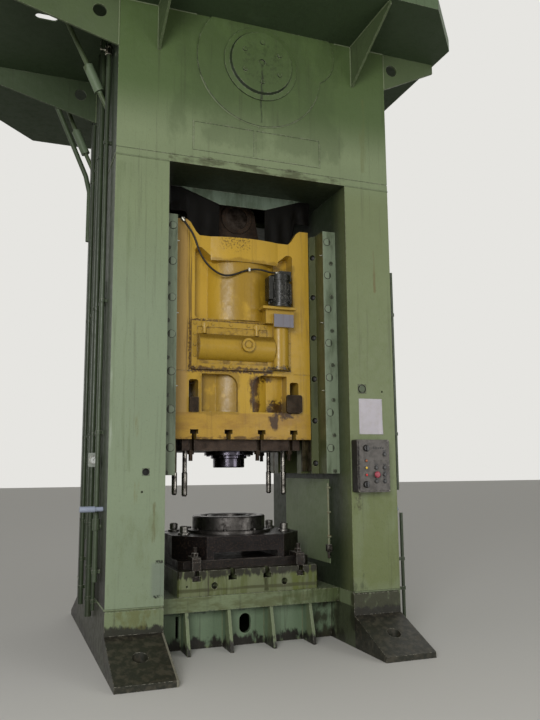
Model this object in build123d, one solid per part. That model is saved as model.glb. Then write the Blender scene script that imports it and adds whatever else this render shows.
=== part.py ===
from build123d import *
from math import acos, atan2, cos, degrees, hypot, pi, radians, sin, tan
import os

# Straight-sided crank press with a trimming die in it, in millimetres.
# The origin is on the floor under the middle of the slide. X runs along the front to the right,
# Y from front to back and Z up. The slide is modelled at the top of its stroke.

# Clearances
RUNNING_GAP = 0.05
SLIDING_GAP = 0.1
SEAT_GAP = 0.3

# Slide plan and its guides
SLIDE_WIDTH = 1284
SLIDE_DEPTH = 1000
WAIST_STEP = 52
SLIDE_POST = 120
LINER_THICK = 49.9
GUIDE_BLOCK_THICK = 128

SLIDE_HALF = SLIDE_WIDTH / 2
SLIDE_FRONT = SLIDE_DEPTH / 2
SLIDE_WAIST = SLIDE_WIDTH - 2 * WAIST_STEP
POST_BACK = SLIDE_FRONT - SLIDE_POST
BLOCK_FACE_X = SLIDE_HALF + SLIDING_GAP + LINER_THICK
OPENING = BLOCK_FACE_X + GUIDE_BLOCK_THICK

# Crank train along the shaft
ROD_WIDTH = 470
DISC_WIDTH = 120
DISC_GAP = 5
GEAR_FACE = 200
BRACKET_WIDTH = 60
GEAR_GAP = 30
HUB_GAP = 60
BOSS_REACH = 210

DISC_INNER = ROD_WIDTH / 2 + DISC_GAP
DISC_OUTER = DISC_INNER + DISC_WIDTH
BRACKET_Y = DISC_OUTER + GEAR_GAP
GEAR_Y = BRACKET_Y + BRACKET_WIDTH + GEAR_GAP
HALF_DEPTH = GEAR_Y + GEAR_FACE + HUB_GAP + BOSS_REACH

# Frame
COLUMN_WIDTH = 450
COLUMN_WALL = 50
BED_HEIGHT = 450
BED_PLATE = 40
BED_TABLE_MARGIN = 18
BED_TABLE_THICK = 119
BED_PANEL_DEPTH = 960
BED_BAND = 188
TOE_REACH = 530
TOE_SKIN = 45
CROWN_PLATE = 60
CROWN_FACE = 80
CROWN_WEB = 60
TIE_ROD_R = 70
TIE_ROD_INSET = 230
TIE_NUT_R = 125
TIE_NUT_HEIGHT = 100

HALF_WIDTH = OPENING + COLUMN_WIDTH
TIE_ROD_X = HALF_WIDTH - COLUMN_WIDTH / 2
TIE_ROD_Y = HALF_DEPTH - TIE_ROD_INSET

# Bolster and T-slots
BOLSTER_SIDE_GAP = 188
BOLSTER_DEPTH = 1244
BOLSTER_HEIGHT = 205
SLOT_EDGE = 171
SLOT_COUNT = 4
SLOT_NECK = 42
SLOT_HEAD = 74
SLOT_HEAD_HEIGHT = 38
SLOT_DEPTH = 85

BOLSTER_WIDTH = 2 * (OPENING - BOLSTER_SIDE_GAP)
BOLSTER_TOP = BED_HEIGHT + BOLSTER_HEIGHT
BED_TABLE_DEPTH = BOLSTER_DEPTH + 2 * BED_TABLE_MARGIN
SLOT_PITCH = (SLIDE_WIDTH - 2 * SLOT_EDGE) / (SLOT_COUNT - 1)
SLOT_XS = [(i - (SLOT_COUNT - 1) / 2) * SLOT_PITCH for i in range(SLOT_COUNT)]

# Die
UPPER_PLATE_MARGIN = (82, 80)
UPPER_PLATE_HEIGHT = 98
PUNCH_GAP = 22
PUNCH_DROP = 150
GUIDE_PIN_R = 26
GUIDE_PIN_EDGE = 80
GUIDE_PIN_Y = 200
GUIDE_PIN_DROP = 405
SHOE_MARGIN = (32, 102)
SHOE_HEIGHT = 70
DIE_BLOCK_HEIGHT = 195
DIE_CORNER = (245, 270)
RING_PIN_GAP = 140
RING_FLANGE = 55
RING_HEIGHT = 150
RING_WALL = 168
DIE_DAYLIGHT = 740

UPPER_HALF_X = SLIDE_HALF - UPPER_PLATE_MARGIN[0]
UPPER_HALF_Y = SLIDE_FRONT - UPPER_PLATE_MARGIN[1]
GUIDE_PIN_X = UPPER_HALF_X - GUIDE_PIN_EDGE
SHOE_HALF_X = BOLSTER_WIDTH / 2 - SHOE_MARGIN[0]
SHOE_HALF_Y = BOLSTER_DEPTH / 2 - SHOE_MARGIN[1]
DIE_FRONT_HALF = SHOE_HALF_X - DIE_CORNER[0]
DIE_CORNER_Y = SHOE_HALF_Y - DIE_CORNER[1]
RING_R = GUIDE_PIN_X - RING_PIN_GAP
RING_BORE_R = RING_R - RING_WALL
PUNCH_R = RING_BORE_R - PUNCH_GAP
SHOE_TOP = BOLSTER_TOP + SHOE_HEIGHT
DIE_TOP = SHOE_TOP + DIE_BLOCK_HEIGHT
UPPER_PLATE_BOTTOM = DIE_TOP + DIE_DAYLIGHT

# Slide heights and the stroke
SLIDE_HEIGHT = 1992
SLIDE_DIP = 140
EAR_WIDTH = 98
STROKE = 450
ADJUSTMENT = 80
WRIST_RISE = 149
CROWN_GAP = 330
SHAFT_RISE = 1034

SLIDE_BOTTOM = UPPER_PLATE_BOTTOM + UPPER_PLATE_HEIGHT
SLIDE_TOP = SLIDE_BOTTOM + SLIDE_HEIGHT
WRIST_Z = SLIDE_TOP + WRIST_RISE
CROWN_BOTTOM = SLIDE_TOP + CROWN_GAP
SHAFT_Z = CROWN_BOTTOM + SHAFT_RISE
CRANK_RADIUS = STROKE / 2
CRANK_PIN_Z = SHAFT_Z + CRANK_RADIUS

# Crank pieces
JOURNAL_R = 180
BUSH_WALL = 50
DISC_R = 430
CRANK_PIN_R = 150
WRIST_PIN_R = 110
SMALL_END_WIDTH = 260
YOKE_EAR = 110

# Gears, flywheel and motor
GEAR_MODULE = 20
GEAR_TEETH = 62
PINION_TEETH = 15
PRESSURE_ANGLE = 20
TOOTH_ADDENDUM = 0.8 * GEAR_MODULE
BACKLASH = 1.2
PINION_HEADROOM = 50
PINION_SHAFT_R = 80
PINION_BUSH_WALL = 30
FLYWHEEL_R = 650
FLYWHEEL_WIDTH = 220
FLYWHEEL_GAP = 60
PULLEY_R = 130
MOTOR_X = -640
MOTOR_LIFT = 330
BELT_COUNT = 4
BELT_PITCH = 40
BELT_WIDTH = 25
BELT_HEIGHT = 17

GEAR_R = GEAR_MODULE * GEAR_TEETH / 2
PINION_R = GEAR_MODULE * PINION_TEETH / 2
PINION_Z = SHAFT_Z + GEAR_R + PINION_R
CROWN_ROOF = PINION_Z + PINION_R + TOOTH_ADDENDUM + PINION_HEADROOM
CROWN_TOP = CROWN_ROOF + CROWN_PLATE
MOTOR_Z = CROWN_TOP + MOTOR_LIFT
FLYWHEEL_Y = HALF_DEPTH + FLYWHEEL_GAP
FLYWHEEL_MIDDLE = FLYWHEEL_Y + FLYWHEEL_WIDTH / 2

# The slide's pockets, from which the crown's opening takes its size
POCKET_MARGIN = (102, 60)
POCKET_HALF_X = SLIDE_HALF - POCKET_MARGIN[0]
POCKET_HALF_Y = SLIDE_FRONT - POCKET_MARGIN[1]
CROWN_HOLE_HALF_X = POCKET_HALF_X + 60
CROWN_HOLE_HALF_Y = POCKET_HALF_Y - 10


# Helpers

def block(x0, x1, y0, y1, z0, z1):
    """A box between two limits on each axis."""
    size = (abs(x1 - x0), abs(y1 - y0), abs(z1 - z0))
    return Pos((x0 + x1) / 2, (y0 + y1) / 2, (z0 + z1) / 2) * Box(*size)


def bar_x(radius, x0, x1, y, z):
    """A round bar along X."""
    return Pos((x0 + x1) / 2, y, z) * Rot(0, 90, 0) * Cylinder(radius, abs(x1 - x0))


def bar_y(radius, x, y0, y1, z):
    """A round bar along Y."""
    return Pos(x, (y0 + y1) / 2, z) * Rot(90, 0, 0) * Cylinder(radius, abs(y1 - y0))


def bar_z(radius, x, y, z0, z1):
    """A round bar along Z."""
    return Pos(x, y, (z0 + z1) / 2) * Cylinder(radius, abs(z1 - z0))


def prism_x(points, x0, x1):
    """An outline of (y, z) points, extruded from x0 to x1."""
    return Pos(x0, 0, 0) * extrude(Plane.YZ * Polygon(*points, align=None), amount=x1 - x0, dir=(1, 0, 0))


def prism_y(points, y0, y1):
    """An outline of (x, z) points, extruded from y0 to y1."""
    return Pos(0, y0, 0) * extrude(Plane.XZ * Polygon(*points, align=None), amount=y1 - y0, dir=(0, 1, 0))


def prism_z(points, z0, z1):
    """An outline of (x, y) points, extruded from z0 to z1."""
    return Pos(0, 0, z0) * extrude(Polygon(*points, align=None), amount=z1 - z0, dir=(0, 0, 1))


def turned_y(points, x, z):
    """A (radius, y) outline turned about an axis along Y."""
    return Pos(x, 0, z) * revolve(Polygon(*points, align=None), Axis.Y)


def turned_z(points, x, y):
    """A (radius, z) outline turned about an axis along Z."""
    return Pos(x, y, 0) * revolve(Plane.XZ * Polygon(*points, align=None), Axis.Z)


def hex_y(across_corners, x, y0, y1, z):
    """A hexagon head along Y."""
    head = extrude(Plane.XZ * RegularPolygon(across_corners / 2, 6), amount=y1 - y0)
    return Pos(x, y1, z) * head


def hex_z(across_corners, x, y, z0, z1):
    """A hexagon nut or head along Z."""
    return Pos(x, y, z0) * extrude(RegularPolygon(across_corners / 2, 6), amount=z1 - z0)


def both_sides(shape, plane):
    """A shape and its mirror image."""
    return [shape, mirror(shape, about=plane)]


def four_corners(shape):
    """A shape mirrored to all four corners of the press."""
    return [copy for half in both_sides(shape, Plane.YZ) for copy in both_sides(half, Plane.XZ)]


def joined(shapes):
    """All shapes fused to one."""
    result = shapes[0]
    for shape in shapes[1:]:
        result += shape
    return result


def t_slots(length, mouth_z, direction):
    """Cutters for the T-slots of a plate whose slotted face is at mouth_z; direction points into it."""
    half = length / 2 + 1
    neck_end = mouth_z + direction * SLOT_DEPTH
    head_start = neck_end - direction * SLOT_HEAD_HEIGHT
    cutters = []
    for x in SLOT_XS:
        cutters.append(block(x - SLOT_NECK / 2, x + SLOT_NECK / 2, -half, half, mouth_z - direction, neck_end))
        cutters.append(block(x - SLOT_HEAD / 2, x + SLOT_HEAD / 2, -half, half, head_start, neck_end))
    return joined(cutters)


# Frame pieces

RIB_INNER_X = 190
RIB_OUTER_INSET = 265
RIB_THICK = 28
RIB_TOP_REACH = 142
RIB_FOOT_REACH = 240
RIB_TOE = 12
ANCHOR_HOLE_R = 26
ANCHOR_REACH = 260
BED_OVAL = (165, 105)
BED_SLIT = (220, 180, 28)
BED_SLIT_Z = 95
SEAM_DEPTH = 14

RIB_XS = (RIB_OUTER_INSET - OPENING, -RIB_INNER_X, RIB_INNER_X, OPENING - RIB_OUTER_INSET)


def toe():
    """One sloped toe, at the front left corner of the bed, with its anchor pocket."""
    top = BED_HEIGHT - BED_BAND
    outline = [(-HALF_DEPTH, 0), (-HALF_DEPTH - TOE_REACH, 0), (-HALF_DEPTH - TOE_REACH, TOE_SKIN),
               (-HALF_DEPTH, top)]
    wedge = prism_x(outline, -HALF_WIDTH, -OPENING)
    anchor_y = -HALF_DEPTH - ANCHOR_REACH
    pocket = bar_z(2.2 * ANCHOR_HOLE_R, -TIE_ROD_X, anchor_y, TOE_SKIN, top)
    hole = bar_z(ANCHOR_HOLE_R, -TIE_ROD_X, anchor_y, -1, TOE_SKIN + 1)
    return wedge - pocket - hole


def bed():
    """Welded bed: a box under each column, the table between them and the four toes."""
    table = BED_TABLE_DEPTH / 2
    panel = BED_PANEL_DEPTH / 2
    underside = BED_HEIGHT - BED_TABLE_THICK
    body = block(-HALF_WIDTH, HALF_WIDTH, -HALF_DEPTH, HALF_DEPTH, 0, BED_HEIGHT)
    for side in (-1, 1):
        body -= block(-OPENING, OPENING, side * table, side * (HALF_DEPTH + 1), -1, BED_HEIGHT + 1)
        body -= block(-OPENING, OPENING, side * panel, side * (table + 1), -1, underside)
    body -= block(-OPENING + COLUMN_WALL, OPENING - COLUMN_WALL, -panel + BED_PLATE, panel - BED_PLATE,
                  BED_PLATE, underside - BED_PLATE / 2)
    rib = prism_x([(-panel, 0), (-panel - RIB_FOOT_REACH, 0), (-panel - RIB_FOOT_REACH, RIB_TOE),
                   (-panel - RIB_TOP_REACH, underside), (-panel, underside)], -RIB_THICK / 2, RIB_THICK / 2)
    for x in RIB_XS:
        for copy in both_sides(Pos(x, 0, 0) * rib, Plane.XZ):
            body += copy
    oval = Plane.XZ * Pos(0, underside / 2 + RIB_TOE) * SlotOverall(*BED_OVAL, rotation=90)
    body -= Pos(0, panel + 1, 0) * extrude(oval, amount=2 * panel + 2)
    inset, height, width = BED_SLIT
    body -= block(inset - OPENING - width / 2, inset - OPENING + width / 2, -panel - 1, -panel + BED_PLATE + 1,
                  BED_SLIT_Z, BED_SLIT_Z + height)
    cell_x = (OPENING + COLUMN_WALL, HALF_WIDTH - COLUMN_WALL)
    for side in (-1, 1):
        body -= block(side * cell_x[0], side * cell_x[1], -HALF_DEPTH + COLUMN_WALL, HALF_DEPTH - COLUMN_WALL,
                      BED_PLATE, BED_HEIGHT - CROWN_PLATE)
        for y in (-TIE_ROD_Y, TIE_ROD_Y):
            body -= bar_z(TIE_ROD_R + 5, side * TIE_ROD_X, y, BED_HEIGHT - CROWN_PLATE - 1, BED_HEIGHT + 1)
    for corner in four_corners(toe()):
        body += corner
    band_top = BED_HEIGHT - SEAM_DEPTH
    for y in (-HALF_DEPTH, HALF_DEPTH):
        for x in (-TIE_ROD_X, TIE_ROD_X):
            body -= block(x - COLUMN_WIDTH, x + COLUMN_WIDTH, y - 6, y + 6, band_top, BED_HEIGHT + 1)
    return body


WEAR_PLATE = (-500, 560, 190, 950)
WEAR_PLATE_THICK = 8
LEFT_HOLES = ((156, 1029, 28), (184, 875, 9))
PLUG = (128, 1745, 40, 30)
SMALL_HOLE = (329, 1724, 9)
HOLE_DEPTH = 30


def column(side):
    """One hollow column; side is -1 for the left one and 1 for the right one."""
    x0, x1 = side * OPENING, side * HALF_WIDTH
    inner = (x0 + side * COLUMN_WALL, x1 - side * COLUMN_WALL)
    body = block(x0, x1, -HALF_DEPTH, HALF_DEPTH, BED_HEIGHT, CROWN_BOTTOM)
    body -= block(inner[0], inner[1], -HALF_DEPTH + COLUMN_WALL, HALF_DEPTH - COLUMN_WALL,
                  BED_HEIGHT - 1, CROWN_BOTTOM + 1)
    y0, y1, z0, z1 = WEAR_PLATE
    return body + block(x0 - side * WEAR_PLATE_THICK, x0, y0, y1, BED_HEIGHT + z0, BED_HEIGHT + z1)


def left_column():
    """The left column, with the two small holes in its front face."""
    body = column(-1)
    for inset, rise, r in LEFT_HOLES:
        body -= bar_y(r, -OPENING - inset, -HALF_DEPTH - 1, -HALF_DEPTH + HOLE_DEPTH, BED_HEIGHT + rise)
    return body


def right_column():
    """The right column, with a plugged hole above the notice."""
    body = column(1)
    inset, rise, hole_r, plug_r = PLUG
    x, z = OPENING + inset, BED_HEIGHT + rise
    body -= bar_y(hole_r, x, -HALF_DEPTH - 1, -HALF_DEPTH + 8, z)
    body += bar_y(plug_r, x, -HALF_DEPTH - 2, -HALF_DEPTH + 9, z)
    inset, rise, r = SMALL_HOLE
    return body - bar_y(r, OPENING + inset, -HALF_DEPTH - 1, -HALF_DEPTH + HOLE_DEPTH, BED_HEIGHT + rise)


PAD_R = 590
PAD_PROUD = 15
SECOND_PAD = (430, 196, 305)
BOSS_WALL = 90
GUARD_DROP = 130
GUARD_BOTTOM_HALF = 225
GUARD_THICK = 10
PLAQUE = (200, 242, 135, 402)
PLAQUE_DIVISION = -55
PLAQUE_RIM = 10
PLAQUE_PROUD = 6
BEARING_BRACKET_HALF = 240
SEAM_WIDTH = 8
SEAM_CUT = 5


def plaque_rim(x0, x1):
    """One raised frame of the bare plaque on the crown."""
    z0, z1 = CROWN_BOTTOM + PLAQUE[2], CROWN_BOTTOM + PLAQUE[3]
    y0, y1 = -HALF_DEPTH - PLAQUE_PROUD, -HALF_DEPTH
    inside = block(x0 + PLAQUE_RIM, x1 - PLAQUE_RIM, y0 - 1, y1 + 1, z0 + PLAQUE_RIM, z1 - PLAQUE_RIM)
    return block(x0, x1, y0, y1, z0, z1) - inside


def crown():
    """Welded crown: outer box, two inner webs, bearing bosses, round front pads and rod opening."""
    body = block(-HALF_WIDTH, HALF_WIDTH, -HALF_DEPTH, HALF_DEPTH, CROWN_BOTTOM, CROWN_TOP)
    inner_y = HALF_DEPTH - CROWN_FACE
    floor = CROWN_BOTTOM + CROWN_PLATE
    body -= block(-OPENING, OPENING, -inner_y, inner_y, floor, CROWN_ROOF)
    for side in (-1, 1):
        body -= block(side * (OPENING + CROWN_WEB), side * (HALF_WIDTH - CROWN_PLATE), -inner_y, inner_y,
                      floor, CROWN_ROOF)
        for y in (-TIE_ROD_Y, TIE_ROD_Y):
            body -= bar_z(TIE_ROD_R + 5, side * TIE_ROD_X, y, CROWN_BOTTOM - 1, CROWN_TOP + 1)
    half_x, half_y = CROWN_HOLE_HALF_X, CROWN_HOLE_HALF_Y
    body -= block(-half_x, half_x, -half_y, half_y, CROWN_BOTTOM - 1, floor + 1)
    bush_r = JOURNAL_R + BUSH_WALL
    for side in (-1, 1):
        body += bar_y(bush_r + BOSS_WALL, 0, side * (HALF_DEPTH - BOSS_REACH), side * inner_y, SHAFT_Z)
    x, rise, r = SECOND_PAD
    pads = bar_y(PAD_R, 0, -HALF_DEPTH - PAD_PROUD, -HALF_DEPTH, SHAFT_Z)
    pads += bar_y(r, x, -HALF_DEPTH - PAD_PROUD, -HALF_DEPTH, SHAFT_Z + rise)
    body += pads - block(PAD_R / 2, x + r, -HALF_DEPTH - PAD_PROUD - 1, -HALF_DEPTH, DECK_Z - SEAT_GAP, CROWN_TOP)
    body -= bar_y(bush_r + SEAT_GAP, 0, -HALF_DEPTH - PAD_PROUD - 1, HALF_DEPTH + 1, SHAFT_Z)
    half = BEARING_BRACKET_HALF
    bracket = block(-half, half, BRACKET_Y, BRACKET_Y + BRACKET_WIDTH, PINION_Z - half, CROWN_ROOF)
    body += bracket
    body -= bar_y(PINION_SHAFT_R + PINION_BUSH_WALL + SEAT_GAP, 0, BRACKET_Y - 1, HALF_DEPTH + 1, PINION_Z)
    body += plaque_rim(PLAQUE[0] - OPENING, PLAQUE_DIVISION)
    body += plaque_rim(PLAQUE_DIVISION, OPENING - PLAQUE[1])
    guard = [(-half_x, CROWN_BOTTOM), (half_x, CROWN_BOTTOM),
             (GUARD_BOTTOM_HALF, CROWN_BOTTOM - GUARD_DROP), (-GUARD_BOTTOM_HALF, CROWN_BOTTOM - GUARD_DROP)]
    body += prism_y(guard, -half_y - GUARD_THICK, -half_y)
    body -= seam_groove(floor)
    return body


def seam_groove(z):
    """Cutter for the shallow weld groove round the crown above its bottom plate."""
    over = block(-HALF_WIDTH - 1, HALF_WIDTH + 1, -HALF_DEPTH - 1, HALF_DEPTH + 1, z, z + SEAM_WIDTH)
    half_x, half_y = HALF_WIDTH - SEAM_CUT, HALF_DEPTH - SEAM_CUT
    return over - block(-half_x, half_x, -half_y, half_y, z - 1, z + SEAM_WIDTH + 1)


def tie_rods():
    """Four tie rods with a nut under the bed's top plate and one on the crown."""
    bottom = BED_HEIGHT - CROWN_PLATE
    rod = bar_z(TIE_ROD_R, -TIE_ROD_X, -TIE_ROD_Y, bottom - TIE_NUT_HEIGHT - 40, CROWN_TOP + TIE_NUT_HEIGHT + 40)
    pieces = four_corners(rod)
    for z in (bottom - TIE_NUT_HEIGHT, CROWN_TOP):
        nut = hex_z(2 * TIE_NUT_R, -TIE_ROD_X, -TIE_ROD_Y, z, z + TIE_NUT_HEIGHT)
        nut -= bar_z(TIE_ROD_R + SEAT_GAP, -TIE_ROD_X, -TIE_ROD_Y, z - 1, z + TIE_NUT_HEIGHT + 1)
        pieces += four_corners(nut)
    return pieces


BOLSTER_CHAMFER = 12
LIFTING_HOLE = (28, 80, 90)
EDGE_HOLE = (78, 84, 9)


def bolster():
    """Bolster plate with four T-slots and the lifting holes in its front and rear edges."""
    half_x, half_y = BOLSTER_WIDTH / 2, BOLSTER_DEPTH / 2
    body = block(-half_x, half_x, -half_y, half_y, BED_HEIGHT, BOLSTER_TOP)
    body = chamfer(body.edges().filter_by(Axis.Z), BOLSTER_CHAMFER)
    body -= t_slots(BOLSTER_DEPTH, BOLSTER_TOP, -1)
    r, rise, depth = LIFTING_HOLE
    for side in (-1, 1):
        for x in (-half_x / 2, half_x / 2):
            body -= bar_y(r, x, side * (half_y - depth), side * (half_y + 1), BED_HEIGHT + rise)
    inset, rise, r = EDGE_HOLE
    return body - bar_y(r, inset - half_x, -half_y - 1, -half_y + HOLE_DEPTH, BED_HEIGHT + rise)


# Guides

STRIP_PROUD = 230
BLOCK_REAR = 130
BAND_EDGE = 4
BAND_PROUD = 10
BAND_SLOPE = 46
NOSE_EDGE = 14
NOSE_GAP = 30
GUIDE_DROP = 308
GUIDE_TOP_DROP = 50
LINER_MARGIN = 20
STRIP_BOLT_X = 43
STRIP_BOLT_R = 31
STRIP_BOLT_HEAD = 5
STRIP_BOLT_START = 227
SMALL_BOLT_X = 75
SMALL_BOLT_START = 22
STRIP_BOLT_PITCH = 320
HEX_HEAD = 36
HEX_HEIGHT = 14
BAND_POCKET_R = 27
BAND_POCKET_DEPTH = 24
BAND_POCKET_START = 93
BAND_POCKET_PITCH = 390

STRIP_Y = SLIDE_FRONT + STRIP_PROUD
BAND_FACE_X = SLIDE_HALF + BAND_EDGE
BAND_Y = SLIDE_FRONT + BAND_PROUD
LINER_Y = (POST_BACK + LINER_MARGIN / 2, SLIDE_FRONT - LINER_MARGIN / 2)
NOSE_X = SLIDE_WAIST / 2 + NOSE_EDGE
NOSE_Y = POST_BACK - NOSE_GAP
BLOCK_REAR_Y = POST_BACK - BLOCK_REAR
GUIDE_BOTTOM = SLIDE_BOTTOM - GUIDE_DROP
GUIDE_TOP = SLIDE_TOP - GUIDE_TOP_DROP


def up_the_guide(start, pitch):
    """Heights of a row of bolts or pockets up a guide."""
    first = GUIDE_BOTTOM + start
    return [first + i * pitch for i in range(int((GUIDE_TOP - LINER_MARGIN - first) // pitch) + 1)]


def guide_blocks():
    """Four blocks bolted to the columns, each wrapped round one corner post of the slide."""
    outline = [(-OPENING, -STRIP_Y), (-BLOCK_FACE_X, -STRIP_Y), (-BLOCK_FACE_X, -BAND_Y - BAND_SLOPE),
               (-BLOCK_FACE_X + BAND_SLOPE, -BAND_Y), (-BAND_FACE_X, -BAND_Y), (-BAND_FACE_X, -LINER_Y[1]),
               (-BLOCK_FACE_X, -LINER_Y[1]), (-BLOCK_FACE_X, -NOSE_Y), (-NOSE_X, -NOSE_Y),
               (-NOSE_X, -BLOCK_REAR_Y), (-OPENING, -BLOCK_REAR_Y)]
    body = prism_z(outline, GUIDE_BOTTOM, GUIDE_TOP)
    middle = (-BLOCK_FACE_X + BAND_SLOPE / 2, -BAND_Y - BAND_SLOPE / 2)
    for z in up_the_guide(BAND_POCKET_START, BAND_POCKET_PITCH):
        pocket = Rot(0, 90, 0) * Cylinder(BAND_POCKET_R, 2 * BAND_POCKET_DEPTH)
        body -= Pos(*middle, z) * Rot(0, 0, -45) * pocket
    return four_corners(body)


def guide_liners():
    """Bronze liners on the guide blocks: one beside each post of the slide and one behind it."""
    z0, z1 = GUIDE_BOTTOM + LINER_MARGIN, GUIDE_TOP - LINER_MARGIN
    face = SLIDE_HALF + SLIDING_GAP
    beside = block(-BLOCK_FACE_X, -face, -LINER_Y[1], -LINER_Y[0], z0, z1)
    behind = block(-face, -NOSE_X, -POST_BACK + SLIDING_GAP, -NOSE_Y, z0, z1)
    return four_corners(beside) + four_corners(behind)


def guide_bolts():
    """Round bolt heads and smaller hexagon heads down the front and rear strips of the guide blocks."""
    pieces = []
    for z in up_the_guide(STRIP_BOLT_START, STRIP_BOLT_PITCH):
        head = bar_y(STRIP_BOLT_R, -BLOCK_FACE_X - STRIP_BOLT_X, -STRIP_Y - STRIP_BOLT_HEAD, -STRIP_Y, z)
        pieces += four_corners(head)
    for z in up_the_guide(SMALL_BOLT_START, STRIP_BOLT_PITCH):
        head = hex_y(HEX_HEAD, -BLOCK_FACE_X - SMALL_BOLT_X, -STRIP_Y - HEX_HEIGHT, -STRIP_Y, z)
        pieces += four_corners(head)
    return pieces


# Platform

DECK_RISE = 1404
DECK_PLATE = 12
DECK_SKIRT = 120
DECK_LEFT_REACH = 1030
DECK_RIGHT_REACH = 580
DECK_FRONT_REACH = 785
DECK_REAR_REACH = 1200
DECK_CORNER = (462, 516)
DECK_GAP = (50, 80)
DECK_OVAL = (190, 80)
DECK_OVAL_SPOT = (570, 445)
BRACKET_THICK = 20
BRACKET_HOLE_R = 58
BRACKET_HOLE_DROP = 155
LEFT_BRACKET = (437, 170, 164)
RIGHT_BRACKET = (370, 94, 90)
FRONT_BRACKET = (410, 30)
FRONT_BRACKET_X = 105
SIDE_BRACKET_REAR_Y = 540
BRACE_R = 24
BRACE_ROUTE = ((440, -200), (380, -326), (82, -1010), (42, -1180), (42, -1700))
BRACE_BEND_R = 120
STRUT_R = 22
SLEEVE_R = 45
STRUTS = ((-430, (385, 0), (196, -380), (88, -610), (0, -790)),
          (880, (330, 0), (170, -400), (60, -640), (0, -770)))

DECK_Z = CROWN_BOTTOM + DECK_RISE


def deck_outline(inset):
    """Plan of the platform, drawn inwards by the inset."""
    left, right = -HALF_WIDTH - DECK_LEFT_REACH + inset, HALF_WIDTH + DECK_RIGHT_REACH - inset
    front, rear = -HALF_DEPTH - DECK_FRONT_REACH + inset, HALF_DEPTH + DECK_REAR_REACH - inset
    corner_x, corner_y = DECK_CORNER[0] - inset / 2, DECK_CORNER[1] - inset / 2
    return [(left, rear - corner_y), (left, front + corner_y), (left + corner_x, front), (right - corner_x, front),
            (right, front + corner_y), (right, rear - corner_y), (right - corner_x, rear), (left + corner_x, rear)]


def platform_deck():
    """Walkway plate all round the crown, with a raised skirt and an opening for the flywheel."""
    body = prism_z(deck_outline(0), DECK_Z, DECK_Z + DECK_SKIRT)
    body -= prism_z(deck_outline(DECK_PLATE), DECK_Z + DECK_PLATE, DECK_Z + DECK_SKIRT + 1)
    top = DECK_Z + DECK_SKIRT + 1
    body -= block(-HALF_WIDTH, HALF_WIDTH, -HALF_DEPTH, HALF_DEPTH, DECK_Z - 1, top)
    half_x = FLYWHEEL_R + DECK_GAP[0]
    body -= block(-half_x, half_x, HALF_DEPTH - 1, PINION_SHAFT_END + DECK_GAP[1], DECK_Z - 1, top)
    x, y = DECK_OVAL_SPOT
    oval = Pos(-HALF_WIDTH - x, -y, DECK_Z - 1) * extrude(SlotOverall(*DECK_OVAL), amount=DECK_PLATE + 2)
    return body - oval - bar_y(PAD_R + SEAT_GAP, 0, -HALF_DEPTH - PAD_PROUD - SEAT_GAP, 0, SHAFT_Z)


def side_bracket(side, reach, sizes, y):
    """An upright bracket plate between the crown's side and the deck, with a round hole."""
    root_drop, tip_drop, hole_x = sizes
    tip = side * (HALF_WIDTH + reach - BRACKET_THICK)
    outline = [(side * HALF_WIDTH, DECK_Z - root_drop), (tip, DECK_Z - tip_drop), (tip, DECK_Z),
               (side * HALF_WIDTH, DECK_Z)]
    plate = prism_y(outline, y, y + BRACKET_THICK)
    hole = bar_y(BRACKET_HOLE_R, side * (HALF_WIDTH + hole_x), y - 1, y + BRACKET_THICK + 1,
                 DECK_Z - BRACKET_HOLE_DROP)
    return plate - hole


def end_bracket(side, reach):
    """A bracket under the front or rear walkway, in the middle plane of the press."""
    drop, tip_drop = FRONT_BRACKET
    tip = side * (HALF_DEPTH + reach - tip_drop)
    return prism_x([(side * HALF_DEPTH, DECK_Z - drop), (tip, DECK_Z - tip_drop), (tip, DECK_Z),
                    (side * HALF_DEPTH, DECK_Z)], -BRACKET_THICK / 2, BRACKET_THICK / 2)


def left_point(y, point):
    """A point beside the crown's left side, given as distance from it and height from the deck."""
    return Vector(-HALF_WIDTH - point[0], y, DECK_Z + point[1])


def round_between(radius, start, end):
    """A round bar from one point to another."""
    return extrude(Plane(origin=start, z_dir=(end - start).normalized()) * Circle(radius), amount=(end - start).length)


def knee_strut(y, points):
    """A thin rod under the deck that runs through a thick sleeve to the crown's side."""
    deck_end, sleeve_top, sleeve_bottom, side_end = [left_point(y, point) for point in points]
    strut = round_between(STRUT_R, deck_end + (sleeve_top - deck_end) * -0.1, sleeve_top)
    strut += round_between(SLEEVE_R, sleeve_top, sleeve_bottom)
    strut += round_between(STRUT_R, sleeve_bottom, side_end + (side_end - sleeve_bottom) * 0.2)
    strut -= block(-HALF_WIDTH, 0, y - HALF_DEPTH, y + HALF_DEPTH, 0, CROWN_TOP)
    return strut - block(-3 * HALF_WIDTH, 0, y - HALF_DEPTH, y + HALF_DEPTH, DECK_Z, CROWN_TOP)


def bent_brace():
    """The bent pipe behind the rear left bracket, with the saddle that ties it to the column."""
    y = SIDE_BRACKET_REAR_Y + BRACKET_THICK + BRACE_R
    path = FilletPolyline(*[left_point(y, point) for point in BRACE_ROUTE], radius=BRACE_BEND_R)
    start = Plane(origin=path @ 0, z_dir=path % 0)
    pipe = sweep(start * Circle(BRACE_R), path=path)
    end = left_point(y, BRACE_ROUTE[-1])
    saddle = block(-HALF_WIDTH, end.X, y - BRACE_R, y + BRACE_R, end.Z, end.Z + 2 * BRACE_R)
    return pipe + saddle


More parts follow.
